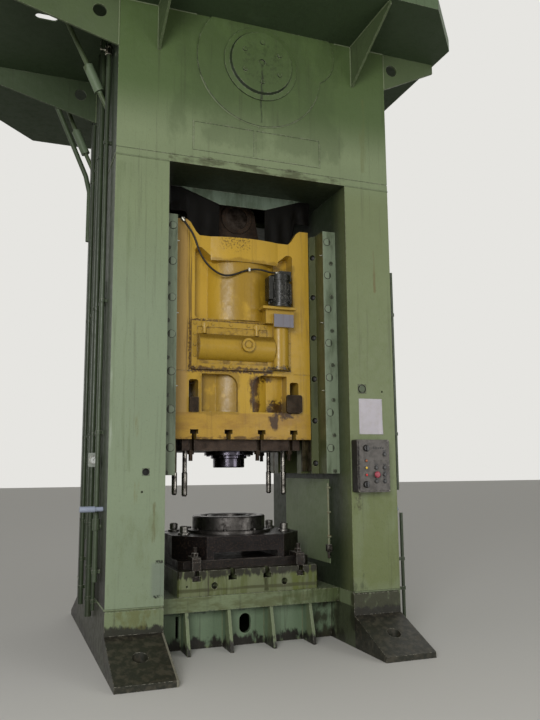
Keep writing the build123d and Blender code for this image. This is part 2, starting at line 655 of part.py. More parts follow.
def platform_brackets():
    """The brackets that carry the deck, with the struts and the bent pipe at the left."""
    pieces = []
    for y in (-HALF_DEPTH, SIDE_BRACKET_REAR_Y):
        pieces.append(side_bracket(-1, DECK_LEFT_REACH, LEFT_BRACKET, y))
        pieces.append(side_bracket(1, DECK_RIGHT_REACH, RIGHT_BRACKET, y))
    for x in (-OPENING - FRONT_BRACKET_X, OPENING + FRONT_BRACKET_X):
        pieces.append(Pos(x, 0, 0) * end_bracket(-1, DECK_FRONT_REACH))
        pieces.append(Pos(x, 0, 0) * end_bracket(1, DECK_REAR_REACH))
    pieces += [knee_strut(y, points) for y, *points in STRUTS]
    return pieces + [bent_brace()]


APRON_THICK = 8


def oil_apron():
    """Two rubber aprons that hang beside the yoke, from the crown into the slide's top pocket."""
    y0 = -CROWN_HOLE_HALF_Y + SEAT_GAP
    half_x = CROWN_HOLE_HALF_X
    shoulder = SLIDE_TOP + ADJUSTMENT + 60
    bottom = SLIDE_TOP - POCKET_DEPTH + ADJUSTMENT + 10
    top_x = half_x + 30
    outline = [(-top_x, CROWN_BOTTOM), (-half_x, CROWN_BOTTOM),
               (-GUARD_BOTTOM_HALF, CROWN_BOTTOM - GUARD_DROP), (-GUARD_BOTTOM_HALF - 30, bottom),
               (-POCKET_HALF_X + 30, bottom + 15), (-POCKET_HALF_X + 30, shoulder), (-top_x, shoulder + 40)]
    return both_sides(prism_y(outline, y0, y0 + APRON_THICK), Plane.YZ)


# Crank train pieces

SHAFT_R = 200
SHAFT_END_GAP = 12
CLUTCH_R = 310
CLUTCH_LENGTH = 110
SHAFT_TAIL = 20

PINION_SHAFT_END = FLYWHEEL_Y + FLYWHEEL_WIDTH + CLUTCH_LENGTH + SHAFT_TAIL


def crankshaft():
    """Both halves of the built-up crankshaft: journals and full round crank discs."""
    y_end = HALF_DEPTH - SHAFT_END_GAP
    step = HALF_DEPTH - BOSS_REACH - DISC_GAP
    front = bar_y(JOURNAL_R, 0, -y_end, -step, SHAFT_Z)
    front += bar_y(SHAFT_R, 0, -step, -DISC_OUTER, SHAFT_Z)
    front += bar_y(DISC_R, 0, -DISC_OUTER, -DISC_INNER, SHAFT_Z)
    rear = bar_y(DISC_R, 0, DISC_INNER, DISC_OUTER, SHAFT_Z)
    rear += bar_y(SHAFT_R, 0, DISC_OUTER, step, SHAFT_Z)
    rear += bar_y(JOURNAL_R, 0, step, y_end, SHAFT_Z)
    return [front, rear]


def shaft_bushes():
    """Bronze bushes of the crankshaft and of the pinion shaft."""
    y0, y1 = HALF_DEPTH - BOSS_REACH, HALF_DEPTH
    pieces = []
    for side in (-1, 1):
        bush = bar_y(JOURNAL_R + BUSH_WALL, 0, side * y0, side * y1, SHAFT_Z)
        pieces.append(bush - bar_y(JOURNAL_R + RUNNING_GAP, 0, side * (y0 - 1), side * (y1 + 1), SHAFT_Z))
    for start, end in ((BRACKET_Y, BRACKET_Y + BRACKET_WIDTH), (HALF_DEPTH - CROWN_FACE, HALF_DEPTH)):
        bush = bar_y(PINION_SHAFT_R + PINION_BUSH_WALL, 0, start, end, PINION_Z)
        pieces.append(bush - bar_y(PINION_SHAFT_R + RUNNING_GAP, 0, start - 1, end + 1, PINION_Z))
    return pieces


END_COVER_R = 347
END_COVER_FLANGE = 12
END_COVER_THICK = 40
END_COVER_BEVEL = (47, 61)
END_COVER_SCREW = (190, 19, 12)
END_COVER_PLUG = (30, 15)


def shaft_end_cover():
    """Stepped round cover over the front end of the crankshaft, with six screws and a centre plug."""
    y = -HALF_DEPTH - PAD_PROUD
    face = y - END_COVER_THICK
    profile = [(0, y), (END_COVER_R, y), (END_COVER_R, y - END_COVER_FLANGE),
               (END_COVER_R - END_COVER_BEVEL[0], y - 1.5 * END_COVER_FLANGE), (END_COVER_R - END_COVER_BEVEL[1], face),
               (0, face)]
    body = turned_y(profile, 0, SHAFT_Z)
    body -= bar_y(END_COVER_PLUG[0], 0, face - 1, face + END_COVER_PLUG[1], SHAFT_Z)
    circle, r, proud = END_COVER_SCREW
    for i in range(6):
        angle = radians(30 + 60 * i)
        body += bar_y(r, circle * cos(angle), face - proud, face, SHAFT_Z + circle * sin(angle))
    return body


def tooth_flank(pitch_r, teeth, tip_r, root_r):
    """Points of one involute flank as (radius, angle from the tooth's middle), from root to tip."""
    base_r = pitch_r * cos(radians(PRESSURE_ANGLE))
    half_tooth = pi / (2 * teeth) - BACKLASH / 4 / pitch_r
    at_pitch = tan(radians(PRESSURE_ANGLE)) - radians(PRESSURE_ANGLE)
    points = []
    start_r = max(base_r, root_r)
    if root_r < base_r:
        points.append((root_r, half_tooth + at_pitch))
    for i in range(4):
        radius = start_r + (tip_r - start_r) * i / 3
        pressure = acos(min(1, base_r / radius))
        points.append((radius, half_tooth + at_pitch - (tan(pressure) - pressure)))
    return points


def gear_outline(teeth, first_angle):
    """Closed outline of a stub-toothed spur gear as (x, y) points about its own centre."""
    pitch_r = GEAR_MODULE * teeth / 2
    flank = tooth_flank(pitch_r, teeth, pitch_r + TOOTH_ADDENDUM, pitch_r - GEAR_MODULE)
    points = []
    for i in range(teeth):
        middle = radians(first_angle) + 2 * pi * i / teeth
        points += [(r * cos(middle - a), r * sin(middle - a)) for r, a in flank]
        points += [(r * cos(middle + a), r * sin(middle + a)) for r, a in reversed(flank)]
    return points


def gear_blank(teeth, first_angle, z, y0, y1):
    """A spur gear with its axis along Y."""
    return Pos(0, 0, z) * prism_y(gear_outline(teeth, first_angle), y0, y1)


GEAR_RIM = 95
GEAR_HUB = 90
GEAR_WEB_HALF = 35
GEAR_HOLE_R = 75


def bull_gear():
    """Large gear keyed to the crankshaft: toothed rim, web with six round holes, hub."""
    y0, y1 = GEAR_Y, GEAR_Y + GEAR_FACE
    body = gear_blank(GEAR_TEETH, 90, SHAFT_Z, y0, y1)
    rim_r = GEAR_R - GEAR_RIM
    hub_r = SHAFT_R + GEAR_HUB
    web = GEAR_WEB_HALF
    for start, end in ((y0 - 1, y0 + GEAR_FACE / 2 - web), (y1 + 1, y1 - GEAR_FACE / 2 + web)):
        body -= bar_y(rim_r, 0, start, end, SHAFT_Z) - bar_y(hub_r, 0, start, end, SHAFT_Z)
    hole_circle = (rim_r + hub_r) / 2
    for i in range(6):
        angle = radians(60 * i + 30)
        body -= bar_y(GEAR_HOLE_R, hole_circle * cos(angle), y0, y1, SHAFT_Z + hole_circle * sin(angle))
    return body - bar_y(SHAFT_R + SEAT_GAP, 0, y0 - 1, y1 + 1, SHAFT_Z)


def pinion_shaft():
    """Shaft with its pinion cut in one piece; the clutch sits on its rear end."""
    half_pitch = 180 / PINION_TEETH
    body = gear_blank(PINION_TEETH, -90 + half_pitch, PINION_Z, GEAR_Y - 10, GEAR_Y + GEAR_FACE + 10)
    return body + bar_y(PINION_SHAFT_R, 0, BRACKET_Y - SHAFT_TAIL, PINION_SHAFT_END, PINION_Z)


GROOVE_FLOOR = 2
WHEEL_HUB_R = 170
WHEEL_RIM = 120
WHEEL_WEB_HALF = 30
WHEEL_HOLE_R = 110
WHEEL_HUB_PROUD = 20


def belt_ys():
    """Middle of each belt along the shaft."""
    return [FLYWHEEL_MIDDLE + (i - (BELT_COUNT - 1) / 2) * BELT_PITCH for i in range(BELT_COUNT)]


def grooved_rim(radius, x, z):
    """Cutter for the belt grooves of a wheel."""
    depth = BELT_HEIGHT + GROOVE_FLOOR
    half = BELT_WIDTH / 2 + SEAT_GAP
    rings = []
    for y in belt_ys():
        ring = bar_y(radius + 1, x, y - half, y + half, z) - bar_y(radius - depth, x, y - half, y + half, z)
        rings.append(ring)
    return joined(rings)


def flywheel():
    """Spoked flywheel with belt grooves, running free on the pinion shaft."""
    y0, y1 = FLYWHEEL_Y, FLYWHEEL_Y + FLYWHEEL_WIDTH
    middle = FLYWHEEL_MIDDLE
    hub_r, rim_in, web = WHEEL_HUB_R, FLYWHEEL_R - WHEEL_RIM, WHEEL_WEB_HALF
    bore, start = PINION_SHAFT_R + RUNNING_GAP, y0 - WHEEL_HUB_PROUD
    profile = [(bore, start), (hub_r, start), (hub_r, middle - web), (rim_in, middle - web), (rim_in, y0),
               (FLYWHEEL_R, y0), (FLYWHEEL_R, y1), (rim_in, y1), (rim_in, middle + web), (hub_r, middle + web),
               (hub_r, y1), (bore, y1)]
    body = turned_y(profile, 0, PINION_Z)
    for i in range(6):
        angle = radians(60 * i)
        circle = (hub_r + rim_in) / 2
        body -= bar_y(WHEEL_HOLE_R, circle * cos(angle), middle - web - 1, middle + web + 1,
                      PINION_Z + circle * sin(angle))
    return body - grooved_rim(FLYWHEEL_R, 0, PINION_Z)


def clutch_brake():
    """Combined clutch and brake unit keyed to the pinion shaft behind the flywheel."""
    y = FLYWHEEL_Y + FLYWHEEL_WIDTH + SEAT_GAP
    end, bore = y + CLUTCH_LENGTH, PINION_SHAFT_R + SEAT_GAP
    profile = [(bore, y), (CLUTCH_R, y), (CLUTCH_R, y + 0.45 * CLUTCH_LENGTH), (0.74 * CLUTCH_R, y + 0.68 * CLUTCH_LENGTH),
               (0.48 * CLUTCH_R, end), (bore, end)]
    return turned_y(profile, 0, PINION_Z)


def motor_pulley():
    """Grooved pulley with the motor's shaft end."""
    y0, y1 = FLYWHEEL_Y + 10, FLYWHEEL_Y + FLYWHEEL_WIDTH - 10
    body = bar_y(PULLEY_R, MOTOR_X, y0, y1, MOTOR_Z) - grooved_rim(PULLEY_R, MOTOR_X, MOTOR_Z)
    return body + bar_y(MOTOR_SHAFT_R, MOTOR_X, MOTOR_BACK - 60, y0, MOTOR_Z)


def belt_loop(gap):
    """Filled outline of a belt round both wheels, gap above the groove floors."""
    depth = BELT_HEIGHT + GROOVE_FLOOR
    big = Pos(0, PINION_Z) * Circle(FLYWHEEL_R - depth + gap)
    small = Pos(MOTOR_X, MOTOR_Z) * Circle(PULLEY_R - depth + gap)
    return make_hull(big.edges() + small.edges())


def drive_belts():
    """Four belts from the motor pulley to the flywheel."""
    outline = belt_loop(SEAT_GAP + BELT_HEIGHT) - belt_loop(SEAT_GAP)
    belt = extrude(Plane.XZ * outline, amount=BELT_WIDTH)
    return [Pos(0, y + BELT_WIDTH / 2, 0) * belt for y in belt_ys()]


MOTOR_R = 200
MOTOR_LENGTH = 510
MOTOR_PULLEY_GAP = 70
MOTOR_SHAFT_R = 40
FIN_COUNT = 20
FIN_HEIGHT = 24
COWL_LENGTH = 90
MOTOR_FOOT = (250, 50)
MOTOR_LEG = (190, 45)
MOTOR_TERMINAL = (90, 200, 360, 90)

MOTOR_BACK = FLYWHEEL_Y - MOTOR_PULLEY_GAP
MOTOR_FRONT = MOTOR_BACK - MOTOR_LENGTH


def drive_motor():
    """Foot-mounted motor on the crown, with ribbed frame, end shields, fan cowl and terminal box."""
    x, z = MOTOR_X, MOTOR_Z
    shield = MOTOR_BACK - 40
    cowl_end = MOTOR_FRONT + COWL_LENGTH
    body = bar_y(MOTOR_R, x, cowl_end, shield, z)
    for i in range(FIN_COUNT):
        fin = block(-5, 5, cowl_end + 40, shield - 40, MOTOR_R - 10, MOTOR_R + FIN_HEIGHT)
        body += Pos(x, 0, z) * Rot(0, (i + 0.5) * 360 / FIN_COUNT, 0) * fin
    body += bar_y(MOTOR_R + 18, x, MOTOR_FRONT, cowl_end, z)
    body += bar_y(MOTOR_R + 10, x, shield, shield + 25, z)
    half, foot = MOTOR_FOOT
    body += block(x - half, x + half, cowl_end + 60, shield - 20, CROWN_TOP, CROWN_TOP + foot)
    offset, half = MOTOR_LEG
    for leg_x in (x - offset, x + offset):
        body += block(leg_x - half, leg_x + half, cowl_end + 80, shield - 40, CROWN_TOP + foot, z - 80)
    half, start, end, height = MOTOR_TERMINAL
    body += block(x - half, x + half, MOTOR_FRONT + start, MOTOR_FRONT + end, z + MOTOR_R - 20, z + MOTOR_R + height)
    return body - bar_y(MOTOR_SHAFT_R + 1, x, MOTOR_BACK - 90, MOTOR_BACK, z)


# Connecting rod and adjusting screw

NUT_DROP = 1173
NUT_WHEEL_HEIGHT = 140
NUT_HUB_HEIGHT = 80

NUT_Z = SLIDE_TOP - NUT_DROP

BIG_END_R = 290
SMALL_END_R = 190
ROD_CHEEK = 110
ROD_SHANK = (215, 150)
ROD_BOLT = (245, 140, 74, 30)
SCREW_R = 125
SCREW_TAIL_GAP = 158
YOKE_DROP = 220
YOKE_BASE_HEIGHT = 100
YOKE_HALF = 235
YOKE_TOP_R = 195
YOKE_BOSS = (150, 16)

YOKE_BASE_TOP = WRIST_Z - YOKE_DROP
YOKE_BASE_BOTTOM = YOKE_BASE_TOP - YOKE_BASE_HEIGHT
SCREW_END = NUT_Z - NUT_WHEEL_HEIGHT / 2 - NUT_HUB_HEIGHT - SCREW_TAIL_GAP


def rod_blank():
    """Outline of the whole connecting rod, before it is split at the crank pin."""
    half_big = ROD_WIDTH / 2
    half_small = SMALL_END_WIDTH / 2
    body = bar_y(BIG_END_R, 0, -half_big, half_big, CRANK_PIN_Z)
    body += block(-BIG_END_R, BIG_END_R, -half_big, half_big, CRANK_PIN_Z - ROD_CHEEK, CRANK_PIN_Z + ROD_CHEEK)
    top, foot = ROD_SHANK
    shank = [(-top, CRANK_PIN_Z - 150), (-foot, WRIST_Z + 60), (foot, WRIST_Z + 60), (top, CRANK_PIN_Z - 150)]
    body += prism_y(shank, -half_small, half_small)
    body += bar_y(SMALL_END_R, 0, -half_small, half_small, WRIST_Z)
    body -= bar_y(CRANK_PIN_R + SEAT_GAP, 0, -half_big - 1, half_big + 1, CRANK_PIN_Z)
    return body - bar_y(WRIST_PIN_R + RUNNING_GAP, 0, -half_small - 1, half_small + 1, WRIST_Z)


ROD_RECESS = (115, 75, 45)


def connecting_rod():
    """The rod below the split, with a recessed flat on each face of its shank."""
    body = rod_blank() - block(-400, 400, -400, 400, CRANK_PIN_Z, CRANK_PIN_Z + 500)
    top, foot, depth = ROD_RECESS
    recess = prism_y([(-top, CRANK_PIN_Z - 360), (-foot, WRIST_Z + 260), (foot, WRIST_Z + 260),
                      (top, CRANK_PIN_Z - 360)], SMALL_END_WIDTH / 2 - depth, SMALL_END_WIDTH / 2 + 1)
    for side in both_sides(recess, Plane.XZ):
        body -= side
    return body


def rod_cap():
    """The cap above the split, with its four bolt heads."""
    body = rod_blank() - block(-400, 400, -400, 400, WRIST_Z - 300, CRANK_PIN_Z)
    x, y, head, height = ROD_BOLT
    z = CRANK_PIN_Z + ROD_CHEEK
    return joined([body] + four_corners(hex_z(head, x, y, z, z + height)))


def crank_pin():
    """The crank pin, which stays with the rod because the linkage is opened at its ends."""
    half = DISC_INNER - SEAT_GAP
    return bar_y(CRANK_PIN_R, 0, -half, half, CRANK_PIN_Z)


def wrist_pin():
    """The pin between the rod's small end and the fork of the adjusting screw."""
    half = SMALL_END_WIDTH / 2 + SEAT_GAP + YOKE_EAR
    return bar_y(WRIST_PIN_R, 0, -half, half, WRIST_Z)


def adjusting_screw():
    """Fork that holds the wrist pin, with the adjusting screw under it."""
    inner = SMALL_END_WIDTH / 2 + SEAT_GAP
    outer = inner + YOKE_EAR
    body = block(-YOKE_HALF, YOKE_HALF, -outer, outer, YOKE_BASE_BOTTOM, YOKE_BASE_TOP)
    cheek = prism_y([(-YOKE_HALF, YOKE_BASE_TOP), (YOKE_HALF, YOKE_BASE_TOP), (YOKE_TOP_R, WRIST_Z),
                     (-YOKE_TOP_R, WRIST_Z)], inner, outer)
    cheek += bar_y(YOKE_TOP_R, 0, inner, outer, WRIST_Z)
    cheek += bar_y(YOKE_BOSS[0], 0, outer, outer + YOKE_BOSS[1], WRIST_Z)
    for side in both_sides(cheek, Plane.XZ):
        body += side
    body -= bar_y(WRIST_PIN_R + SEAT_GAP, 0, -outer - YOKE_BOSS[1] - 1, outer + YOKE_BOSS[1] + 1, WRIST_Z)
    return body + bar_z(SCREW_R, 0, 0, SCREW_END, YOKE_BASE_BOTTOM)


NUT_WHEEL_R = 290
NUT_HUB_R = 200
NUT_BORE_R = 300
NUT_THROAT = (14, 25)
RETAINER_HEIGHT = 60
RETAINER_SCREW = (250, 16, 14)


def adjusting_nut():
    """Nut on the adjusting screw, with the worm wheel round it and a hub above and below."""
    z0, z1 = NUT_Z - NUT_WHEEL_HEIGHT / 2, NUT_Z + NUT_WHEEL_HEIGHT / 2
    throat = NUT_WHEEL_R - NUT_THROAT[0]
    rim = NUT_THROAT[1]
    profile = [(SCREW_R + RUNNING_GAP, z0 - NUT_HUB_HEIGHT), (NUT_HUB_R, z0 - NUT_HUB_HEIGHT), (NUT_HUB_R, z0),
               (NUT_WHEEL_R, z0), (NUT_WHEEL_R, z0 + rim), (throat, NUT_Z), (NUT_WHEEL_R, z1 - rim),
               (NUT_WHEEL_R, z1), (NUT_HUB_R, z1), (NUT_HUB_R, z1 + NUT_HUB_HEIGHT),
               (SCREW_R + RUNNING_GAP, z1 + NUT_HUB_HEIGHT)]
    return turned_z(profile, 0, 0)


def nut_retainer():
    """Bolted ring that keeps the nut down on its seat in the slide."""
    z = NUT_Z + NUT_WHEEL_HEIGHT / 2 + SEAT_GAP
    ring = bar_z(NUT_BORE_R - SEAT_GAP, 0, 0, z, z + RETAINER_HEIGHT)
    ring -= bar_z(NUT_HUB_R + SEAT_GAP, 0, 0, z - 1, z + RETAINER_HEIGHT + 1)
    circle, r, height = RETAINER_SCREW
    for i in range(8):
        angle = radians(45 * i + 22.5)
        ring += bar_z(r, circle * cos(angle), circle * sin(angle), z + RETAINER_HEIGHT, z + RETAINER_HEIGHT + height)
    return ring


WORM_R = 62
WORM_HALF = 160
WORM_PITCH = 30
WORM_GROOVE = (13, 16)
COVER_EDGE = 133
WORM_END_INSET = 54
HOUSING_EDGE = 316
COVER_HOUSING_GAP = 71
WORM_COVER_LAP = 45
WORM_SHAFT_R = 38
WORM_BEARING = 40

HOUSING_X = SLIDE_HALF - HOUSING_EDGE
COVER_X = (COVER_EDGE - SLIDE_HALF, HOUSING_X - COVER_HOUSING_GAP)
WORM_X = (COVER_X[0] + WORM_END_INSET, COVER_X[1] + WORM_COVER_LAP)
WORM_Y = -(NUT_WHEEL_R + WORM_R + SEAT_GAP)
WORM_CHANNEL = WORM_R + 12


def worm_shaft():
    """Worm across the front of the worm wheel, with a bearing on each end."""
    body = bar_x(WORM_R, -WORM_HALF, WORM_HALF, WORM_Y, NUT_Z)
    width, depth = WORM_GROOVE
    for i in range(10):
        x = -WORM_HALF + 10 + i * WORM_PITCH
        body -= bar_x(WORM_R + 1, x, x + width, WORM_Y, NUT_Z) - bar_x(WORM_R - depth, x, x + width, WORM_Y, NUT_Z)
    body += bar_x(WORM_SHAFT_R, WORM_X[0] + 10, WORM_X[1] - 10, WORM_Y, NUT_Z)
    for x in (WORM_X[0] + 20, WORM_X[1] - 20 - WORM_BEARING):
        body += bar_x(WORM_CHANNEL - SEAT_GAP, x, x + WORM_BEARING, WORM_Y, NUT_Z)
    return body


# Slide

RECESS_EDGE = 167
RECESS_DEPTH = 120
RECESS_FLOOR_DROP = 910
RECESS_TOP_DROP = 250
RECESS_CORNER_R = 32
RECESS_DRAFT = 7
COLLAR_DROP = 365
COLLAR_HALF = 330
COLLAR_FLARE = (55, 85)
COLLAR_PROUD = 50
DRUM_EDGE = 45
DRUM_PROUD = 30
POCKET_DEPTH = 210
WELL_DEPTH = 350
WELL_HALF = 300
SEAM = (7, 5)
LOWER_POCKET_INNER = 70
LOWER_POCKET_EDGE = 237
LOWER_POCKET_RISE = 245
LOWER_POCKET_R = 110
LOWER_DRUM_R = 400
LOWER_DRUM_BACK = 38
KNOCKOUT_EDGE = 162
KNOCKOUT_WIDTH = 86
KNOCKOUT_RISE = (237, 527)
KNOCKOUT_CORNER_R = 20
SEAM_DROP = 19
POCKET_SEAM_GAP = 16
COVER_DROP = 202
COVER_RISE = 231
EAR_STEPS = (10, 25, 75, 110, 35)

RECESS_HALF = SLIDE_HALF - RECESS_EDGE
RECESS_BOTTOM = SLIDE_TOP - RECESS_FLOOR_DROP
RECESS_SIDE_TOP = SLIDE_TOP - RECESS_TOP_DROP
COLLAR_BOTTOM = SLIDE_TOP - COLLAR_DROP
COLLAR_R = (COLLAR_HALF**2 + COLLAR_PROUD**2) / (2 * COLLAR_PROUD)
DRUM_R = RECESS_HALF - DRUM_EDGE
DRUM_FRONT = SLIDE_FRONT + DRUM_PROUD
WELL_FLOOR = SLIDE_TOP - WELL_DEPTH
SEAM_Z = NUT_Z - COVER_DROP - SEAM_DROP
LOWER_DRUM_FRONT = SLIDE_FRONT - LOWER_DRUM_BACK
KNOCKOUT_X = SLIDE_HALF - KNOCKOUT_EDGE


def slide_outline():
    """Front view of the slide: straight sides, an ear at each top corner and a dip between them."""
    dip = SLIDE_TOP - SLIDE_DIP
    ear = SLIDE_HALF - EAR_WIDTH
    outer, shoulder, lower, foot, rise = EAR_STEPS
    right = [(SLIDE_HALF, SLIDE_BOTTOM), (SLIDE_HALF, SLIDE_TOP), (ear + outer, SLIDE_TOP),
             (ear - shoulder, SLIDE_TOP - shoulder), (ear - lower, dip + rise), (ear - foot, dip)]
    return right + [(-x, z) for x, z in reversed(right)]


def face_recess():
    """Cutter for the recess above the worm cover, with drawn walls and rounded corners."""
    foot, top = COLLAR_HALF - COLLAR_FLARE[0], COLLAR_HALF + COLLAR_FLARE[1]
    outline = [(-RECESS_HALF, RECESS_BOTTOM), (RECESS_HALF, RECESS_BOTTOM), (RECESS_HALF, RECESS_SIDE_TOP),
               (top, RECESS_SIDE_TOP), (foot, COLLAR_BOTTOM), (-foot, COLLAR_BOTTOM), (-top, RECESS_SIDE_TOP),
               (-RECESS_HALF, RECESS_SIDE_TOP)]
    sketch = Polygon(*outline, align=None)
    sketch = fillet(sketch.vertices(), RECESS_CORNER_R)
    recess = extrude(Plane.XZ * sketch, amount=RECESS_DEPTH, dir=(0, 1, 0), taper=RECESS_DRAFT)
    cutter = Pos(0, -SLIDE_FRONT, 0) * recess
    return cutter - bar_z(DRUM_R, 0, DRUM_R - DRUM_FRONT, RECESS_BOTTOM - 1, RECESS_SIDE_TOP + 1)


def collar():
    """The collar above the drum, which bulges from the slide's front face up to the dip."""
    bulge = bar_z(COLLAR_R, 0, COLLAR_R - SLIDE_FRONT - COLLAR_PROUD, COLLAR_BOTTOM, SLIDE_TOP - SLIDE_DIP)
    front = block(-COLLAR_HALF, COLLAR_HALF, -SLIDE_FRONT - COLLAR_PROUD - 1, -SLIDE_FRONT + 1, COLLAR_BOTTOM, SLIDE_TOP)
    return bulge & front


def lower_pocket():
    """Cutter for the left one of the two arched pockets above the slide's bottom plate."""
    z0, z1 = SLIDE_BOTTOM + LOWER_POCKET_RISE, SEAM_Z - POCKET_SEAM_GAP
    pocket = block(LOWER_POCKET_EDGE - SLIDE_HALF, -LOWER_POCKET_INNER, -SLIDE_FRONT - 1,
                   -SLIDE_FRONT + RECESS_DEPTH, z0, z1)
    top_inner = pocket.edges().filter_by(Axis.Y).group_by(Axis.Z)[-1].sort_by(Axis.X)[-1]
    pocket = fillet(top_inner, LOWER_POCKET_R)
    return pocket - bar_z(LOWER_DRUM_R, 0, LOWER_DRUM_R - LOWER_DRUM_FRONT, z0 - 1, z1 + 1)


def knockout_slot():
    """Cutter for the left knockout slot, round at its top, from the front to the back of the slide."""
    half = KNOCKOUT_WIDTH / 2
    z0, z1 = SLIDE_BOTTOM + KNOCKOUT_RISE[0], SLIDE_BOTTOM + KNOCKOUT_RISE[1]
    slot = block(-KNOCKOUT_X - half, -KNOCKOUT_X + half, -SLIDE_FRONT - 1, SLIDE_FRONT + 1, z0, z1)
    return fillet(slot.edges().filter_by(Axis.Y).group_by(Axis.Z)[-1], KNOCKOUT_CORNER_R)


def slide():
    """The slide: corner posts, recessed faces with the drum, pockets, T-slots and the nut's bore."""
    body = prism_y(slide_outline(), -SLIDE_FRONT, SLIDE_FRONT)
    for side in (-1, 1):
        body -= block(side * SLIDE_WAIST / 2, side * (SLIDE_HALF + 1), -POST_BACK, POST_BACK,
                      SLIDE_BOTTOM - 1, SLIDE_TOP + 1)
    drum = bar_z(DRUM_R, 0, DRUM_R - DRUM_FRONT, RECESS_BOTTOM, COLLAR_BOTTOM)
    body += drum - block(-DRUM_R, DRUM_R, -POST_BACK, DRUM_R, RECESS_BOTTOM - 1, RECESS_SIDE_TOP)
    for recess in both_sides(face_recess(), Plane.XZ):
        body -= recess
    for bulge in both_sides(collar(), Plane.XZ):
        body += bulge
    for pocket in four_corners(lower_pocket()):
        body -= pocket
    for slot in both_sides(knockout_slot(), Plane.YZ):
        body -= slot
    body -= t_slots(SLIDE_DEPTH, SLIDE_BOTTOM, 1)
    body -= block(-POCKET_HALF_X, POCKET_HALF_X, -POCKET_HALF_Y, POCKET_HALF_Y,
                  SLIDE_TOP - POCKET_DEPTH, SLIDE_TOP + 1)
    body -= block(-WELL_HALF, WELL_HALF, -WELL_HALF, WELL_HALF, WELL_FLOOR, SLIDE_TOP)
    wheel_floor = NUT_Z - NUT_WHEEL_HEIGHT / 2
    body -= bar_z(NUT_BORE_R, 0, 0, wheel_floor, WELL_FLOOR + 1)
    body -= bar_z(NUT_HUB_R + SEAT_GAP, 0, 0, wheel_floor - NUT_HUB_HEIGHT, wheel_floor + 1)
    body -= bar_z(SCREW_R + 10, 0, 0, SCREW_END - ADJUSTMENT - 50, wheel_floor)
    body -= block(WORM_X[0], WORM_X[1], -SLIDE_FRONT - 1, WORM_Y + WORM_CHANNEL,
                  NUT_Z - WORM_CHANNEL, NUT_Z + WORM_CHANNEL)
    height, depth = SEAM
    for side in (-1, 1):
        body -= block(side * RECESS_HALF, side * (SLIDE_HALF + 1), -SLIDE_FRONT - 1, -SLIDE_FRONT + depth,
                      SEAM_Z, SEAM_Z + height)
    return body


COVER_PLATE = 25
COVER_RIM = (50, 10)
COVER_ROUND_R = 122
COVER_WALL = 16
COVER_ROUND_INSET = 56
COVER_ROUND_DROP = 14
COVER_LUG = (115, 156, 19, 30)
COVER_PORT = (110, 61, 40, 26)
COVER_BOLT = (28, 12, 24)
COVER_BOLT_GAP = 95

COVER_Z = (NUT_Z - COVER_DROP, NUT_Z + COVER_RISE)


def worm_cover():
    """Cast cover over the worm: flange with a raised bolted rim, half-round bulge, two eyes and an oil port."""
    y = -SLIDE_FRONT
    x0, x1 = COVER_X
    z0, z1 = COVER_Z
    face = y - COVER_PLATE
    rim, proud = COVER_RIM
    body = block(x0, x1, face - proud, y, z0, z1) - block(x0 + rim, x1 - rim, face - proud - 1, face, z0 + rim, z1 - rim)
    middle = (z0 + z1) / 2 - COVER_ROUND_DROP
    start = x0 + COVER_ROUND_INSET
    front = block(x0, x1, y - 2 * COVER_ROUND_R, y, z0, z1)
    body += bar_x(COVER_ROUND_R, start, x1, y, middle) & front
    body -= bar_x(COVER_ROUND_R - COVER_WALL, start + COVER_WALL, x1 - COVER_WALL, y, middle)
    left, right, neck_r, eye_r = COVER_LUG
    for x in (x0 + left, x1 - right):
        body += bar_z(neck_r, x, face - 10, z1 - 112, z1 - 18)
        body += bar_y(eye_r, x, face - 26, face, z1 - 34)
    offset, boss_r, seat_r, plug_r = COVER_PORT
    port_x, port_z = (x0 + x1) / 2 + offset, middle + COVER_ROUND_DROP
    crest = y - COVER_ROUND_R
    body += bar_y(boss_r, port_x, crest - 36, crest + 62, port_z)
    body -= bar_y(seat_r, port_x, crest - 37, crest - 20, port_z)
    body += bar_y(plug_r, port_x, crest - 32, crest - 18, port_z)
    head, height, inset = COVER_BOLT
    seat = face - proud
    for i in range(5):
        x = x0 + inset + 2 + i * (x1 - x0 - COVER_BOLT_GAP) / 4
        for z in (z0 + inset, z1 - inset):
            body += hex_y(head, x, seat - height, seat, z)
    for i in range(1, 4):
        body += hex_y(head, x0 + inset + 2, seat - height, seat, z0 + inset + i * (z1 - z0 - 2 * inset) / 4)
    return body


HOUSING_R = 88
HOUSING_FLARE = 14
HOUSING_FLANGE = (114, 18)
HOUSING_DROP = 192
HOUSING_RISE = 235
HOUSING_FRONT = 22
HOUSING_BOLT = (26, 10, 101)
BOX_LEFT = 160
BOX_RIGHT = 120
BOX_HEIGHT = 151
BOX_FRONT = 145
BOX_STEP = 40
BOX_PLATE = (95, 97, 37, 44, 30)
BOX_LID = (203, 121, 24)
MOTOR_OFFSET = (14, 90)
ADJUST_MOTOR_R = 92
ADJUST_MOTOR_HEIGHT = 312
ADJUST_FINS = (18, 14, 3.5)
TERMINAL_BOX = (127, 55, 67, 30)
CAP = (26, 90, 60, 50, 65, 26)

HOUSING_Z = (NUT_Z - HOUSING_DROP, NUT_Z + HOUSING_RISE)
BOX_FRONT_Y = -SLIDE_FRONT - BOX_FRONT
BOX_TOP = HOUSING_Z[1] + BOX_HEIGHT
MOTOR_AXIS = (HOUSING_X - MOTOR_OFFSET[0], -SLIDE_FRONT - MOTOR_OFFSET[1])
ADJUST_MOTOR_TOP = BOX_TOP + ADJUST_MOTOR_HEIGHT
CAP_X = MOTOR_AXIS[0] - CAP[0]


